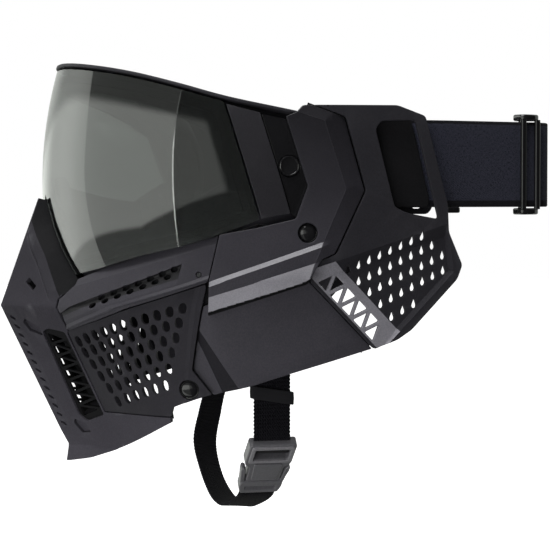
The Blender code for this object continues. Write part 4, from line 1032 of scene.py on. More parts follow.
for side, tag in ((1, "L"), (-1, "R")):
    slab = flat_slab(side_pts(round_corners(JAW, 0.8, 2), side), [], -2.8, -0.4, 0.5, 2)
    # Paint: the diagonal facet between JA and JB gets the darker plastic as painted shade
    shell = bend(f"jaw_shell_{tag}", slab, mask_form, "jaw", S_ALL, Z_FINE,
                 [JA, JB, JC], jaw_relief, side, paint=("painted_shade_facet", lambda s, z: (ja(s, z) > 0) & (jb(s, z) < 0)))
    # Seam strips and riser: dark material as painted shade along the jaw's seams
    seam_a = backing(f"seam_c_{tag}", [(124.6, -8.0), (114.4, -44.6), (124.6, -56.2)], 2.4, 3.4, -6.4, -5.4, side)
    seam_b = backing(f"seam_d_{tag}", [(121.0, -12.6), (171.0, 2.6), (175.0, 0.6)], 2.0, 4.0, -3.4, -2.9, side)
    seam_c = backing(f"seam_e_{tag}", [(171.4, -0.4), (204.2, -34.2)], 2.5, 4.0, -3.6, -2.9, side)
    riser = backing(f"seam_f_{tag}", [(172.0, -1.0), (204.0, -34.0)], 2.5, -1.35, -3.2, -0.7, side)
    own(join_into(shell, seam_a, seam_b, seam_c, riser), "mask", [f"jaw_panel_{tag}"])

# ================================================================== ear guards
EAR = [(174.7, 87.4), (218.0, 87.6), (232.7, 82.3), (244.7, 37.6), (245.3, 24.0), (252.5, 7.3), (249.8, 0.3),
       (226.2, -25.1), (218.9, -30.0), (206.6, -34.6), (173.3, -0.7), (174.6, 3.6), (179.0, 10.3),
       (186.5, 13.1), (201.8, 44.8), (191.2, 81.7)]
WINDOW = [(206.4, 75.6), (209.2, 79.6), (227.4, 80.2), (239.6, 30.6), (222.8, 33.7), (216.5, 36.7)]
TEAR_AT = [((193.3, 5.7), (231.5, 22.1), 8), ((199.0, -0.3), (237.5, 17.5), 8), ((204.8, -5.9), (243.0, 12.4), 8),
           ((210.7, -12.0), (243.4, 4.8), 7), ((216.6, -18.6), (228.1, -12.2), 3)]
REAR_TRI = truss((175.6, -0.4), (206.3, -31.8), (183.4, 7.2), (214.1, -24.2), 5, 1.7)
STRIP_W = 14.4
T0 = ((175.0, 0.2), (207.5, -33.4))          # strip between the jaw and the perforated field
T1 = ((186.0, 8.2), (218.6, -27.4))
F0 = ((186.0, 9.6), (243.0, 27.6))           # field's upper edge
F1 = ((247.6, 24.0), (250.4, 3.0))           # field's rear edge
F2 = ((249.0, 1.8), (222.0, -27.0))          # field's lower edge
t0, t1, f0, f1, f2 = dist(*T0), dist(*T1), dist(*F0), dist(*F1), dist(*F2)
FIELD = 3.4


def ear_relief(s, z):
    strip = step01(t0(s, z) / STRIP_W)
    top = step01((-f0(s, z)) / 6.0)
    rear = step01((-f1(s, z) - 2.4) / 1.6)
    low = step01((-f2(s, z) - 2.4) / 1.6)
    return -FIELD * np.minimum.reduce([strip, top, rear, low])


ear_cuts = [T0, off_line(*T0, -STRIP_W), F0, off_line(*F0, 6.0), off_line(*F1, 2.4), off_line(*F1, 4.0), off_line(*F2, 2.4), off_line(*F2, 4.0)]
for side, tag in ((1, "L"), (-1, "R")):
    tears = rows(TEAR_AT, lambda x, y: teardrop(x, y, 2.5, 5.2))
    slab = flat_slab(side_pts(round_corners(EAR, 1.6, 3), side),
                     sides([round_corners(WINDOW, 1.8, 3)] + tears + REAR_TRI, side), -0.4, 2.0, 0.35, 1)
    # Paint: the strip beside the jaw gets the lighter plastic as a painted highlight
    own(bend(f"ear_shell_{tag}", slab, mask_form, "ear", lines(174, 200, 4), [-14.3, 0, 38.9], ear_cuts, ear_relief, side,
             paint=("painted_highlight_strip", lambda s, z: (t0(s, z) > 0.0) & (t0(s, z) < STRIP_W) & (f0(s, z) < 0.0) & (f2(s, z) < -2.4))),
        "mask", [f"ear_guard_{tag}"])

OUTRIGGER = [(196.0, 50.0), (199.0, 78.0), (206.0, 83.4), (232.4, 83.4), (236.0, 78.0), (239.5, 60.0), (239.5, 36.0), (237.0, 33.0),
             (206.0, 33.0), (196.0, 42.0)]
OUT_SLOT = [(229.0, 35.8), (233.2, 35.8), (233.2, 81.2), (229.0, 81.2)]
for side, tag in ((1, "L"), (-1, "R")):
    slab = flat_slab(side_pts(round_corners(OUTRIGGER, 2.0, 4), side), sides([round_corners(OUT_SLOT, 1.0, 3)], side), -9.6, -7.2, 0.6, 2)
    arm = bend(f"outrigger_plate_{tag}", slab, mask_form, "ear", [200, 206], [-14.3, 0, 38.9], side=side)
    flap = [(199.0, 79.0), (201.0, 82.6), (226.0, 82.6), (229.4, 70.0), (236.6, 40.0), (235.6, 36.4), (214.0, 36.4), (205.0, 50.0)]
    flap = bend(f"outrigger_flap_{tag}", flat_slab(side_pts(round_corners(flap, 1.6, 3), side), [], -4.4, -3.2, 0.4, 2),
                mask_form, "dark", [200, 206], [-14.3, 0, 38.9], side=side)
    own(join_into(arm, flap), "mask", [f"strap_outrigger_{tag}"])


# ================================================================== turned fasteners and buttons
def turned_mesh(name, axis_dir, base, profile, mat, seg=40, smooth=38):
    bm = bmesh.new()
    rings = []
    for r, h in profile:
        if r < 1e-6:
            rings.append([bm.verts.new((0, 0, h))])
        else:
            rings.append([bm.verts.new((r * math.cos(2 * math.pi * i / seg), r * math.sin(2 * math.pi * i / seg), h)) for i in range(seg)])
    for a, b in zip(rings[:-1], rings[1:]):
        for i in range(seg):
            j = (i + 1) % seg
            if len(a) == 1 and len(b) == 1:
                continue
            if len(a) == 1:
                bm.faces.new((a[0], b[i], b[j]))
            elif len(b) == 1:
                bm.faces.new((a[i], a[j], b[0]))
            else:
                bm.faces.new((a[i], a[j], b[j], b[i]))
    outward(bm)
    rot = Vector((0, 0, 1)).rotation_difference(Vector(axis_dir)).to_matrix()
    for v in bm.verts:
        v.co = rot @ v.co + Vector(base)
    for v in bm.verts:
        v.co = Vector(metres(v.co[:]))
    me = bpy.data.meshes.new(name)
    bm.to_mesh(me)
    bm.free()
    me.shade_smooth()
    me.set_sharp_from_angle(angle=math.radians(smooth))
    return place(name, me, mat)


def on_form(form, s, z, h):
    p = form(s, z, h)
    n = form(s, z, h + 1.0) - p
    return p, n / np.linalg.norm(n)


def flip(v, side):
    return (v[0] * side, v[1], v[2])


def dome(r, h, bulge, n=6):
    """Domed head: rim round, then a shallow cap."""
    pts = [(r - 0.5, h - 0.0), (r - 0.15, h + 0.18), (r, h + 0.6)]
    pts = [(r, h), (r, h + 0.5), (r - 0.2, h + 0.85)]
    for k in range(n + 1):
        a = math.radians(80 * (1 - k / n))
        pts.append(((r - 0.35) * math.sin(a) / math.sin(math.radians(80)), h + 0.85 + bulge * (math.cos(a) - math.cos(math.radians(80)))))
    return pts


for side, tag in ((1, "L"), (-1, "R")):
    p, n = on_form(mask_form, *STUD, 0.0)
    own(turned_mesh(f"stud_head_{tag}", flip(n, side), flip(p, side), [(0, 0), (2.2, 0), (2.2, 1.2)] + dome(STUD_R, 1.2, 1.9), "gloss"),
        "mask", [f"frame_stud_{tag}"])
    p, n = on_form(mask_form, *PANEL_STUD, -4.0)
    own(turned_mesh(f"panel_stud_head_{tag}", flip(n, side), flip(p, side), [(0, 0), (2.2, 0), (2.2, 1.9)] + dome(STUD_R, 1.9, 1.9), "gloss"),
        "mask", [f"panel_stud_{tag}"])
    b = lens_form(BUTTON[0], BUTTON[1], 0.0)
    prof = [(0, 0), (BUTTON_R, 0), (BUTTON_R, 2.1), (BUTTON_R - 0.15, 2.45), (BUTTON_R - 0.5, 2.6), (BUTTON_R - 0.95, 2.45),
            (BUTTON_R - 1.15, 2.1), (BUTTON_R - 1.6, 2.0), (0, 2.0)]
    own(turned_mesh(f"release_button_{tag}", (side, 0, 0), (side * (b[0] - 2.4), b[1], b[2]), prof, "gloss", 48, 30),
        f"lens_button_{tag}", [f"lens_button_{tag}"])

# ================================================================== foam carrier and face foam
CARRIER_FRONT = [(0, 103), (25, 102.4), (50, 100), (80, 95), (103, 86.5), (119, 77), (129.5, 52), (112, 31),
                 (85, 18), (60, 8.5), (38, 5), (26, 13), (15, 28), (7, 41), (0, 45.5)]
CARRIER_REAR = [(0, 93.4), (15, 92.8), (30, 90.6), (43.5, 86.4), (54.5, 79.6), (61, 68), (62.5, 52), (59, 35),
                (51, 21), (40, 12), (27, 9), (18, 15), (11.5, 25), (5, 35), (0, 38)]


def closed_ring(half, n):
    full = both_sides(half)
    k = len(full)
    loop = spline_through([full[i % k] for i in range(-3, k + 4)], 12)[36:-36]
    a = arc(loop[:, 0], loop[:, 1])
    t = np.linspace(0, a[-1], n + 1)[:-1]
    return np.stack([np.interp(t, a, loop[:, 0]), np.interp(t, a, loop[:, 1])], -1)


def face_y(x):
    return 28.0 - 88.0 * np.sqrt(np.maximum(1 - (np.abs(x) / 78.0) ** 2, 0.02))


def tube_ring(name, sections, mat, smooth=40):
    """Closed band from a list of closed section loops (each a list of points, same count)."""
    bm = bmesh.new()
    rings = [[bm.verts.new(tuple(p)) for p in sec] for sec in sections]
    k = len(rings[0])
    for i in range(len(rings)):
        a, b = rings[i], rings[(i + 1) % len(rings)]
        for j in range(k):
            bm.faces.new((a[j], a[(j + 1) % k], b[(j + 1) % k], b[j]))
    outward(bm)
    me = bpy.data.meshes.new(name)
    for v in bm.verts:
        v.co = Vector(metres(v.co[:]))
    bm.to_mesh(me)
    bm.free()
    me.shade_smooth()
    me.set_sharp_from_angle(angle=math.radians(smooth))
    return place(name, me, mat)


NR = 160
cf, cr = closed_ring(CARRIER_FRONT, NR), closed_ring(CARRIER_REAR, NR)
front = lens_form(cf[:, 0], cf[:, 1], FRAME_H[0] - 1.2)
rear = np.stack([cr[:, 0], face_y(cr[:, 0]) - 14.8, cr[:, 1]], -1)
centre = 0.5 * (front.mean(0) + rear.mean(0))
sections = []
for i in range(NR):
    a, b = front[i], rear[i]
    ax = (b - a)
    L = np.linalg.norm(ax)
    ax = ax / L
    tang = front[(i + 1) % NR] - front[i - 1] + rear[(i + 1) % NR] - rear[i - 1]
    nn = np.cross(ax, tang)
    nn /= np.linalg.norm(nn)
    prof = []
    for t in np.linspace(0, 1, 7):
        sag = 1.1 * math.sin(math.pi * t)
        prof.append(a + ax * L * t + nn * (0.9 - sag))
    for t in np.linspace(1, 0, 7):
        sag = 1.1 * math.sin(math.pi * t)
        prof.append(a + ax * L * t + nn * (-0.9 - sag))
    sections.append(prof)
own(tube_ring("carrier_shell", sections, "frame"), "mask", ["foam_carrier"])

FOAM_R = 6.4
NF = 200
fr = closed_ring(CARRIER_REAR, NF)
fc = np.stack([fr[:, 0], face_y(fr[:, 0]) - 6.4, fr[:, 1]], -1)


def foam_sections(inner, outer_y, back_y, bulge):
    """Foam section: flat against the carrier, crowned towards the face."""
    out = []
    for i in range(NF):
        t = fc[(i + 1) % NF] - fc[i - 1]
        t /= np.linalg.norm(t)
        w = np.cross(t, np.array([0, 1.0, 0]))
        w /= np.linalg.norm(w)
        dpt = np.cross(w, t)
        dpt = dpt if dpt[1] > 0 else -dpt
        pinch = 1.0 - 0.05 * math.cos(2 * math.pi * i / NF * 9.0) - 0.03 * math.cos(2 * math.pi * i / NF * 23.0 + 1.0)
        sec = []
        m = 28
        for k in range(m):
            a = 2 * math.pi * k / m
            c, s_ = math.cos(a), math.sin(a)
            x = inner * math.copysign(abs(c) ** 0.62, c)
            y = math.copysign(abs(s_) ** 0.72, s_)
            y = y * (outer_y if s_ > 0 else back_y) * (pinch if s_ > 0 else 1.0)
            sec.append(fc[i] + w * x * (1.0 - bulge * max(0.0, s_)) + dpt * y)
        out.append(sec)
    return out


foam = own(tube_ring("foam_pad", foam_sections(6.2, 2.4, 6.0, 0.04), "foam", 60), "mask", ["face_foam"])


def fleece_sections():
    out = []
    for i in range(NF):
        t = fc[(i + 1) % NF] - fc[i - 1]
        t /= np.linalg.norm(t)
        w = np.cross(t, np.array([0, 1.0, 0]))
        w /= np.linalg.norm(w)
        dpt = np.cross(w, t)
        dpt = dpt if dpt[1] > 0 else -dpt
        pinch = 1.0 - 0.05 * math.cos(2 * math.pi * i / NF * 9.0) - 0.03 * math.cos(2 * math.pi * i / NF * 23.0 + 1.0)
        sec = []
        m = 28
        for k in range(m):
            a = 2 * math.pi * k / m
            c, s_ = math.cos(a), math.sin(a)
            x = 6.0 * math.copysign(abs(c) ** 0.6, c)
            y = 4.3 + math.copysign(abs(s_) ** 0.7, s_) * 1.9 * pinch
            sec.append(fc[i] + w * x * (1.0 - 0.06 * max(0.0, s_)) + dpt * y)
        out.append(sec)
    return out


fleece = own(tube_ring("fleece_pad", fleece_sections(), "fleece", 60), "mask", ())


# ================================================================== bands: strap and webbing
def band(name, path, width_dirs, width, thick, mat, edge=0.45, wave=0.0, pitch=1.6, v_flip=1.0, cap=True, step=0.8, wobble=None):
    """Flat woven band swept along a path, rounded at its edges, with UV in millimetres."""
    path = np.array(path, float)
    dirs = np.array(width_dirs, float)
    a = np.concatenate([[0], np.cumsum(np.linalg.norm(np.diff(path, axis=0), axis=1))])
    n = max(3, int(a[-1] / step))
    t = np.linspace(0, a[-1], n)
    P = np.stack([np.interp(t, a, path[:, k]) for k in range(3)], 1)
    Wd = np.stack([np.interp(t, a, dirs[:, k]) for k in range(3)], 1)
    T = np.gradient(P, axis=0)
    T /= np.linalg.norm(T, axis=1)[:, None]
    half = []
    m = 6
    for k in range(m + 1):
        g = math.pi * k / m
        half.append((math.sin(g) * edge, math.cos(g) * thick / 2))
    sec = []
    cross = np.linspace(-1, 1, 15)
    for c in cross:
        sec.append((c * (width / 2 - edge), thick / 2, c))
    for x, y in half[1:-1]:
        sec.append((width / 2 - edge + x, y, 1.0))
    for c in cross[::-1]:
        sec.append((c * (width / 2 - edge), -thick / 2, c))
    for x, y in [(p[0], -p[1]) for p in half[1:-1]]:
        sec.append((-(width / 2 - edge + x), y, -1.0))
    bm = bmesh.new()
    uvl = bm.loops.layers.uv.new("UVMap")
    rings = []
    for i in range(n):
        w = Wd[i] - T[i] * (Wd[i] @ T[i])
        w /= np.linalg.norm(w)
        nn = np.cross(T[i], w)
        k = 1.0 + (wave / width * 2) * math.sin(2 * math.pi * t[i] / pitch)
        off = np.zeros(3) if wobble is None else nn * wobble(t[i])
        rings.append([bm.verts.new(tuple(P[i] + off + w * (x * k) + nn * y)) for x, y, _ in sec])
    K = len(sec)
    for i in range(n - 1):
        for j in range(K):
            j2 = (j + 1) % K
            f = bm.faces.new((rings[i][j], rings[i][j2], rings[i + 1][j2], rings[i + 1][j]))
            for lp, (ii, jj) in zip(f.loops, ((i, j), (i, j2), (i + 1, j2), (i + 1, j))):
                lp[uvl].uv = (t[ii], sec[jj][0] * v_flip)
    if cap:
        for ring, rev in ((rings[0], True), (rings[-1], False)):
            f = bm.faces.new(ring[::-1] if rev else ring)
            for lp in f.loops:
                lp[uvl].uv = (0.0, 0.0)
    outward(bm)
    for v in bm.verts:
        v.co = Vector(metres(v.co[:]))
    me = bpy.data.meshes.new(name)
    bm.to_mesh(me)
    bm.free()
    me.shade_smooth()
    me.set_sharp_from_angle(angle=math.radians(50))
    return place(name, me, mat)


RUN_A, RUN_B = np.array([76.6, 68.0]), np.array([56.8, 128.2])
RUN = (RUN_B - RUN_A) / np.linalg.norm(RUN_B - RUN_A)
OUT = np.array([RUN[1], -RUN[0]])
TAIL = STRAP_T + 0.4
strap_half = spline_through([(74.6, 44.0), (74.8, 54.0), (75.2, 63.0)] +
                            [tuple(RUN_A + (RUN_B - RUN_A) * t) for t in (0.06, 0.35, 0.65, 1.0)] +
                            [(54.6, 131.8), (49.6, 134.6), (38.0, 137.4), (20.0, 140.6), (0.0, 142.0)], 10)
strap_full = np.vstack([strap_half, [(-x, y) for x, y in strap_half[::-1][1:]]])
strap_path = [(x, y, STRAP_Z) for x, y in strap_full]
strap = band("elastic_strap", strap_path, [(0, 0, 1)] * len(strap_path), STRAP_W, STRAP_T - 0.2, "strap", 0.9)
own(strap, "mask", ["head_strap"])
for side, tag in ((1, "L"), (-1, "R")):
    tail = spline_through([(80.5, 30.0), (80.5, 46.0), (80.3, 58.0), (79.4, 66.0)] +
                          [tuple(RUN_A + (RUN_B - RUN_A) * t + OUT * TAIL) for t in (0.12, 0.35, 0.65, 0.98)], 10)
    path = [(x * side, y, STRAP_Z) for x, y in tail]
    ob = band(f"strap_fold_{tag}", path, [(0, 0, 1)] * len(path), STRAP_W, STRAP_T - 0.5, "strap", 0.7)
    own(ob, "mask", [f"strap_tail_{tag}"])


def placed(name, bm, origin, axes, mat, smooth=35):
    """A slab drawn flat in (a, b, c), put in its place on three axes."""
    bmesh.ops.triangulate(bm, faces=bm.faces)
    outward(bm)
    nf = flat_normals(bm)
    axes = np.array(axes, float)
    origin = np.array(origin, float)
    det = np.linalg.det(axes)
    for v in bm.verts:
        v.co = Vector(metres(origin + axes @ np.array(v.co[:])))
    me = bpy.data.meshes.new(name)
    if det < 0:
        bmesh.ops.reverse_faces(bm, faces=bm.faces)
        k = 0
        order = []
        for f in bm.faces:
            m = len(f.verts)
            order += list(range(k, k + m))[::-1]
            k += m
        nf = nf[order] if False else None
    bm.to_mesh(me)
    bm.free()
    me.shade_smooth()
    if nf is not None:
        nw = (axes @ nf.T).T
        nw /= np.linalg.norm(nw, axis=1)[:, None]
        me.normals_split_custom_set([tuple(x) for x in nw])
    else:
        me.set_sharp_from_angle(angle=math.radians(smooth))
    return place(name, me, mat)


GLIDE_AT = RUN_A + (RUN_B - RUN_A) * 0.84
H_END = STRAP_W / 2 + 0.6
lo, hi = -STRAP_T / 2 - 0.5, STRAP_T / 2 + TAIL + 0.3
for side, tag in ((1, "L"), (-1, "R")):
    ru, ro = np.array([RUN[0] * side, RUN[1], 0]), np.array([OUT[0] * side, OUT[1], 0])
    up = np.array([0, 0, 1.0])
    o3 = np.array([GLIDE_AT[0] * side, GLIDE_AT[1], STRAP_Z])
    parts = []
    mid = (lo + hi) / 2
    for sgn in (-1, 1):
        outline = []
        for k in range(36):
            a = 2 * math.pi * k / 36
            rr = 1.0 + 0.07 * math.cos(3 * a + math.pi / 2 * 0)
            outline.append((6.6 * rr * math.copysign(abs(math.cos(a)) ** 0.75, math.cos(a)),
                            mid + ((hi - lo) / 2 + 2.2) * rr * math.copysign(abs(math.sin(a)) ** 0.75, math.sin(a))))
        bm = flat_slab(outline, [], sgn * (H_END + 1.7) - 1.7, sgn * (H_END + 1.7) + 1.7, 1.0, 3)
        parts.append(placed(f"gl{sgn}{tag}", bm, o3, np.stack([ru, ro, up], 1), "gloss"))
    for k, (u, h, wd, th) in enumerate(((0, lo - 1.0, 3.6, 2.2), (-4.6, hi + 1.0, 3.2, 2.4), (4.6, hi + 1.0, 3.2, 2.4))):
        outline = [(u + wd / 2 * math.copysign(abs(math.cos(a)) ** 0.7, math.cos(a)),
                    h + th / 2 * math.copysign(abs(math.sin(a)) ** 0.7, math.sin(a))) for a in np.linspace(0, 2 * math.pi, 25)[:-1]]
        bm = flat_slab(outline, [], -H_END - 0.6, H_END + 0.6, 0.02, 0)
        parts.append(placed(f"bar{k}{tag}", bm, o3, np.stack([ru, ro, up], 1), "gloss"))
    join_into(parts[0], *parts[1:])
    parts[0].name = f"strap_adjuster_{tag}"
    own(parts[0], f"tri_glide_{tag}", [f"tri_glide_{tag}"])

# ------------------------------------------------------------------ chin strap
BUCKLE_A = np.array([CHIN_X, CHIN_Y + 1.0, -82.0])
D = np.array([-0.76, 0.0, -0.65])
D /= np.linalg.norm(D)
W = np.array([0.0, 1.0, 0.0])
N = np.cross(D, W)
N = N if N[0] > 0 else -N
BAX = np.stack([D, W, N], 1)

left = band("chin_webbing_left", [(CHIN_X, CHIN_Y, RIVET_Z + 7.0), (CHIN_X, CHIN_Y, -60.0), (CHIN_X, CHIN_Y, -81.6)],
            [(0, 1, 0)] * 3, WEB_W, WEB_T, "web", 0.5, 0.22, 1.9, step=0.5)
own(left, "chin_strap", ["chin_web_left"])
endr = band("chin_webbing_tab", [(-CHIN_X, CHIN_Y, RIVET_Z + 7.0), (-CHIN_X, CHIN_Y, -50.0), (-CHIN_X, CHIN_Y, -60.38)],
            [(0, 1, 0)] * 3, WEB_W, WEB_T, "web", 0.5, 0.22, 1.9, step=0.5)
own(endr, "chin_strap", ["chin_web_end_R"])

# keeper: a woven loop round the webbing
loop = []
for k in range(48):
    a = 2 * math.pi * k / 48
    loop.append((CHIN_X + (WEB_T / 2 + 1.1) * math.copysign(abs(math.cos(a)) ** 0.45, math.cos(a)),
                 CHIN_Y + (WEB_W / 2 + 1.3) * math.copysign(abs(math.sin(a)) ** 0.25, math.sin(a))))
sections = []
for i in range(48):
    p, q, r = np.array(loop[i - 1]), np.array(loop[i]), np.array(loop[(i + 1) % 48])
    t = (r - p) / np.linalg.norm(r - p)
    n2 = np.array([t[1], -t[0]])
    tilt = 0.17 * (q[1] - CHIN_Y)
    sec = []
    for u, v in ((-3.0, -0.45), (-3.3, 0.0), (-3.0, 0.45), (0, 0.6), (3.0, 0.45), (3.3, 0.0), (3.0, -0.45), (0, -0.35)):
        sec.append((q[0] + n2[0] * v, q[1] + n2[1] * v, -58.5 + u - tilt))
    sections.append(sec)
own(tube_ring("keeper_loop", sections, "loop", 50), "web_keeper", ["web_keeper"])

# buckle, receiving half
FT = 7.0
outline = [(0.7, -12.4), (0.7, 12.4), (16.2, 12.4), (18.6, 11.4), (20.4, 9.2), (32.5, 9.0), (32.5, -9.0), (20.4, -9.2), (18.6, -11.4), (16.2, -12.4)]
win = [(3.2, -9.2), (3.2, 9.2), (12.6, 9.2), (12.6, -9.2)]
mouth = [(17.0, -8.0), (17.0, 8.0)]
fem = [placed("fem_a", flat_slab(round_corners(outline, 1.6, 4), [round_corners(win, 0.8, 3)], -FT / 2, FT / 2 - 1.0, 0.8, 3), BUCKLE_A, BAX, "buckle")]
rim_o = [(1.4, -11.2), (1.4, 11.2), (14.6, 11.2), (14.6, -11.2)]
fem.append(placed("fem_b", flat_slab(round_corners(rim_o, 1.0, 3), [round_corners(win, 0.8, 3)], FT / 2 - 1.4, FT / 2 + 0.1, 0.45, 2), BUCKLE_A, BAX, "buckle_rim"))
fem.append(placed("fem_c", flat_slab(round_corners([(16.4, -7.6), (16.4, 7.6), (30.6, 6.6), (30.6, -6.6)], 1.4, 4), [], FT / 2 - 1.6, FT / 2 - 0.2, 0.5, 2), BUCKLE_A, BAX, "buckle"))
fem.append(placed("fem_d", flat_slab(round_corners([(6.6, -10.0), (6.6, 10.0), (8.8, 10.0), (8.8, -10.0)], 0.8, 3), [], -1.2, 1.6, 0.6, 2), BUCKLE_A, BAX, "truss"))
fem.append(placed("fem_e", flat_slab(round_corners([(2.6, -9.4), (2.6, 9.4), (13.4, 9.4), (13.4, -9.4)], 0.5, 2), [], -2.9, -1.6, 0.4, 2), BUCKLE_A, BAX, "dark"))
join_into(fem[0], *fem[1:])
fem[0].name = "buckle_socket"
own(fem[0], "chin_strap", ["buckle_female"])

# buckle, prong half: arms curl round the socket's shoulders
MALE_U = 32.6 + 0.3
arm = [(33.6, 6.6), (33.4, 10.4), (29.0, 11.0), (24.6, 12.2), (21.8, 13.2), (20.9, 12.3), (21.6, 10.6), (25.0, 10.0), (29.6, 9.7), (31.2, 9.5), (32.9, 9.3)]
body_m = [(MALE_U, -11.4), (MALE_U, 11.4), (38.6, 11.4), (42.4, 10.4), (43.4, 9.6), (43.4, -9.6), (42.4, -10.4), (38.6, -11.4)]
male = [placed("male_a", flat_slab(round_corners(body_m, 1.4, 4), [round_corners([(37.4, -8.2), (37.4, 8.2), (40.4, 8.2), (40.4, -8.2)], 0.7, 2)], -3.0, 2.6, 0.8, 3), BUCKLE_A, BAX, "buckle")]
arm_up = [(34.6, 8.2), (34.6, 11.6), (29.0, 12.2), (24.8, 12.9), (21.6, 12.9), (20.9, 11.9), (22.2, 10.5), (26.0, 10.1), (30.0, 9.8), (33.0, 9.6)]
for sg in (1, -1):
    pts = [(u, w * sg) for u, w in arm_up]
    pts = pts if sg > 0 else pts[::-1]
    male.append(placed(f"male_arm{sg}", flat_slab(round_corners(pts, 0.8, 3), [], -2.2, 2.2, 0.7, 3), BUCKLE_A, BAX, "buckle"))
male.append(placed("male_tongue", flat_slab(round_corners([(MALE_U + 1.0, -2.0), (MALE_U + 1.0, 2.0), (27.4, 1.4), (27.4, -1.4)], 0.5, 2), [], -1.0, 1.0, 0.4, 1), BUCKLE_A, BAX, "buckle"))
join_into(male[0], *male[1:])
male[0].name = "buckle_prongs"
own(male[0], "chin_strap_far", ["buckle_male"])

GAP = 0.3
start = BUCKLE_A + D * (MALE_U + 10.0 + GAP)
far = spline_through([start, start + D * 5.0, (8.0, CHIN_Y + 1.0, -119.6), (-14.0, CHIN_Y, -124.2),
                      (-36.0, CHIN_Y - 1.5, -122.0), (-53.0, CHIN_Y - 4.0, -111.0), (-62.0, CHIN_Y - 5.5, -95.0),
                      (-64.0, CHIN_Y - 2.0, -78.0), (-CHIN_X, CHIN_Y, -67.0), (-CHIN_X, CHIN_Y, -60.4)], 14)
m = len(far)
ease = lambda t: t * t * (3 - 2 * t)
twist = [math.radians(38.0) * ease(min(max((i / (m - 1) - 0.25) / 0.35, 0), 1))
         * (1 - ease(min(max((i / (m - 1) - 0.86) / 0.14, 0), 1))) for i in range(m)]
tg = np.gradient(far, axis=0)
tg /= np.linalg.norm(tg, axis=1)[:, None]
dirs = []
for t, a in zip(tg, twist):
    w = W - t * (W @ t)
    w /= np.linalg.norm(w)
    dirs.append(w * math.cos(a) + np.cross(t, w) * math.sin(a))
far_web = band("chin_webbing_right", far, dirs, WEB_W, WEB_T, "web", 0.5, 0.18, 1.9, step=0.6)
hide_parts("chin_web_right")
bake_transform(far_web)

# ------------------------------------------------------------------ carried-over solids
for side, tag in ((1, "L"), (-1, "R")):
    ax = np.stack([(0, 1.0, 0), (0, 0, 1.0), (side, 0, 0)], 1)
    plate = placed(f"anchor_plate_{tag}", flat_slab(round_corners([(-10.5, -5.6), (10.5, -5.6), (10.5, 13.0), (-10.5, 13.0)], 3.0, 4), [], -1.4, 1.4, 0.5, 2),
                   (side * 67.4, CHIN_Y, -41.0), ax, "ear")
    foot = placed(f"anchor_foot_{tag}", flat_slab(round_corners([(-8.0, -2.4), (8.0, -2.4), (8.0, 2.4), (-8.0, 2.4)], 0.8, 3), [], -3.8, 3.8, 0.4, 2),
                  (side * 71.9, CHIN_Y, -33.0), ax, "ear")
    own(join_into(plate, foot), "mask", [f"chin_anchor_{tag}"])
for node, mat in (("bezel_screw_L", "steel"), ("bezel_screw_R", "steel"), ("chin_rivet_L", "steel"), ("chin_rivet_R", "steel")):
    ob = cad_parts[node]
    for sl in ob.material_slots:
        sl.material = MAT[mat]

# ================================================================== studio
CAM_AZ, CAM_EL, CAM_DIST, CAM_LENS = math.radians(75.0), math.radians(2.0), 1.20, 147.0
AIM = Vector((0.0, -0.045, -0.060))
back = Vector((math.sin(CAM_AZ) * math.cos(CAM_EL), -math.cos(CAM_AZ) * math.cos(CAM_EL), math.sin(CAM_EL)))
cam_data = bpy.data.cameras.new("camera")
cam_data.lens = CAM_LENS
cam_data.sensor_width = 36.0
cam_data.clip_start = 0.05
cam_data.clip_end = 60.0
cam = bpy.data.objects.new("camera", cam_data)
cam.location = AIM + back * CAM_DIST
cam.rotation_euler = (-back).to_track_quat("-Z", "Y").to_euler()
SCENE.collection.objects.link(cam)
SCENE.camera = cam

FLOOR_Z = -0.42
me = bpy.data.meshes.new("floor")
me.from_pydata([(-9, -9, FLOOR_Z), (9, -9, FLOOR_Z), (9, 9, FLOOR_Z), (-9, 9, FLOOR_Z)], [], [(0, 1, 2, 3)])
floor = bpy.data.objects.new("floor", me)
SCENE.collection.objects.link(floor)
fm, fnt, fb = nodes_of("pale_floor")
fb.inputs["Base Color"].default_value = (0.88, 0.88, 0.88, 1.0)
fb.inputs["Roughness"].default_value = 0.9
fb.inputs["Emission Color"].default_value = (1, 1, 1, 1)
fb.inputs["Emission Strength"].default_value = 1.0
fb.inputs["Specular IOR Level"].default_value = 0.0
me.materials.append(fm)
floor.visible_diffuse = False
floor.visible_glossy = False

world = bpy.data.worlds.new("studio")
SCENE.world = world
world.use_nodes = True
wt = world.node_tree
bg = wt.nodes["Background"]
outw = wt.nodes["World Output"]
tcw = wt.nodes.new("ShaderNodeTexCoord").outputs["Generated"]
sepw = wt.nodes.new("ShaderNodeSeparateXYZ")
wt.links.new(tcw, sepw.inputs[0])


def wmath(op, a, b=None, c=None):
    n = wt.nodes.new("ShaderNodeMath")
    n.operation = op
    for i, v in enumerate((a, b, c)):
        if v is None:
            continue
        if isinstance(v, (int, float)):
            n.inputs[i].default_value = v
        else:
            wt.links.new(v, n.inputs[i])
    return n.outputs[0]


def wstep(x, a, b, lo_, hi_):
    n = wt.nodes.new("ShaderNodeMapRange")
    n.interpolation_type = "SMOOTHSTEP"
    for i, v in zip((1, 2, 3, 4), (a, b, lo_, hi_)):
        n.inputs[i].default_value = v
    wt.links.new(x, n.inputs[0])
    return n.outputs[0]


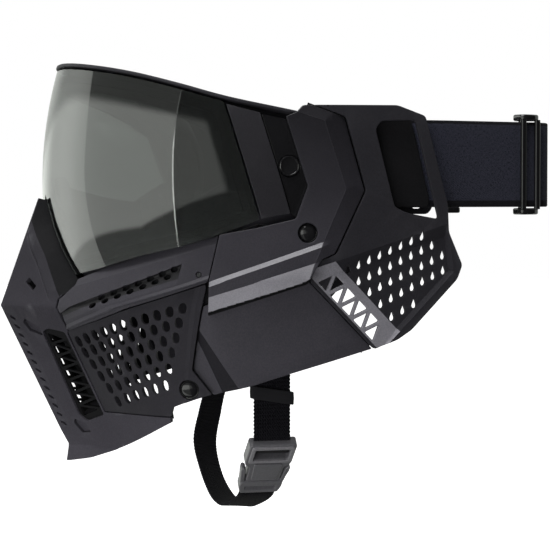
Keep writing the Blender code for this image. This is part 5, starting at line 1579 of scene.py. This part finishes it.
dx, dy, dz = sepw.outputs
azi = wmath("MULTIPLY", wmath("ARCTAN2", dx, wmath("MULTIPLY", dy, -1.0)), 180 / math.pi)
ele = wmath("MULTIPLY", wmath("ARCSINE", dz), 180 / math.pi)
el2 = wmath("POWER", wmath("SUBTRACT", ele, 6.0), 2.0)
az30 = wmath("POWER", wmath("SUBTRACT", azi, 30.0), 2.0)
top_at = wmath("SUBTRACT", 20.6, wmath("MULTIPLY", az30, 0.0014))
bot_at = wmath("MINIMUM", wmath("ADD", -12.6, wmath("MULTIPLY", wmath("MAXIMUM", wmath("SUBTRACT", azi, 38.0), 0.0), 0.215)), 0.0)
band = wmath("MULTIPLY", wstep(wmath("SUBTRACT", ele, top_at), -1.6, 1.2, 1.0, 0.0), wstep(wmath("SUBTRACT", ele, bot_at), -0.9, 0.9, 0.0, 1.0))
el_sign = wmath("SIGN", wmath("SUBTRACT", ele, 6.0))
seam_az = wmath("ADD", 58.2, wmath("MULTIPLY", el2, wmath("ADD", 0.0055, wmath("MULTIPLY", el_sign, 0.0020))))
past = wmath("SUBTRACT", azi, seam_az)
left_az = wmath("SUBTRACT", -11.5, wmath("MULTIPLY", wmath("MULTIPLY", el2, 0.022), el_sign))
right_az = wmath("SUBTRACT", 82.4, wmath("MULTIPLY", ele, 0.42))
main_box = wmath("MULTIPLY", wstep(wmath("SUBTRACT", azi, left_az), -0.7, 0.7, 0.0, 1.0), wstep(past, -0.5, 0.2, 1.0, 0.0))
side_box = wmath("MULTIPLY", wstep(past, -0.2, 0.5, 0.0, 1.0), wstep(wmath("SUBTRACT", azi, right_az), -1.6, 1.6, 1.0, 0.0))
far_box = wmath("MULTIPLY", wstep(wmath("SUBTRACT", azi, left_az), -0.7, 0.7, 1.0, 0.0), wstep(azi, -70.0, -25.0, 1.3, 3.6))
line = wmath("MULTIPLY", wmath("MULTIPLY", wstep(past, -0.4, 0.0, 0.0, 1.0), wstep(past, 0.25, 0.65, 1.0, 0.0)),
             wmath("MULTIPLY", wstep(ele, -20.0, -8.0, 0.35, 1.0), wstep(ele, 9.0, 18.0, 1.0, 0.12)))
full = wmath("ADD", wmath("ADD", wmath("MULTIPLY", main_box, 2.55), wmath("MULTIPLY", side_box, 0.80)), far_box)
low = wmath("MULTIPLY", wmath("ADD", wmath("MULTIPLY", main_box, 0.35), wmath("MULTIPLY", far_box, 0.55)), wstep(ele, -70.0, -30.0, 0.3, 1.0))
level = wmath("ADD", wmath("MULTIPLY", full, band), wmath("MULTIPLY", low, wmath("SUBTRACT", 1.0, band)))
level = wmath("ADD", wmath("ADD", level, wmath("MULTIPLY", line, 9.0)), 0.03)
lp = wt.nodes.new("ShaderNodeLightPath")
seen = wmath("MAXIMUM", lp.outputs["Is Camera Ray"], lp.outputs["Is Transmission Ray"])
dull = lp.outputs["Is Diffuse Ray"]
other = wmath("ADD", wmath("MULTIPLY", dull, 0.17), wmath("MULTIPLY", level, wmath("SUBTRACT", 1.0, dull)))
strength = wmath("ADD", seen, wmath("MULTIPLY", other, wmath("SUBTRACT", 1.0, seen)))
wt.links.new(strength, bg.inputs["Strength"])
tintw = wt.nodes.new("ShaderNodeMix")
tintw.data_type = "RGBA"
tintw.inputs[6].default_value = (0.965, 1.0, 0.945, 1.0)
tintw.inputs[7].default_value = (1, 1, 1, 1)
wt.links.new(wmath("MINIMUM", wmath("ADD", seen, dull), 1.0), tintw.inputs[0])
wt.links.new(tintw.outputs[2], bg.inputs["Color"])


def area_light(name, loc, target, size, power, color=(1, 1, 1)):
    ld = bpy.data.lights.new(name, "AREA")
    ld.shape = "RECTANGLE"
    ld.size, ld.size_y = size
    ld.energy = power
    ld.color = color
    ob = bpy.data.objects.new(name, ld)
    ob.location = loc
    ob.rotation_euler = (Vector(loc) - Vector(target)).to_track_quat("Z", "Y").to_euler()
    SCENE.collection.objects.link(ob)
    ob.visible_camera = False
    ob.visible_transmission = False
    return ob


tgt = (0.0, -0.03, -0.03)
area_light("top_softbox", (0.24, -0.38, 1.22), tgt, (1.0, 1.0), 42.0)
for ob in (area_light("key_fill", (1.25, -0.75, 0.20), tgt, (0.9, 0.9), 3.0),
           area_light("low_fill", (0.55, -0.45, -0.36), (0.0, -0.05, -0.12), (0.6, 0.4), 6.0)):
    ob.visible_glossy = False

SCENE.view_settings.view_transform = "Standard"
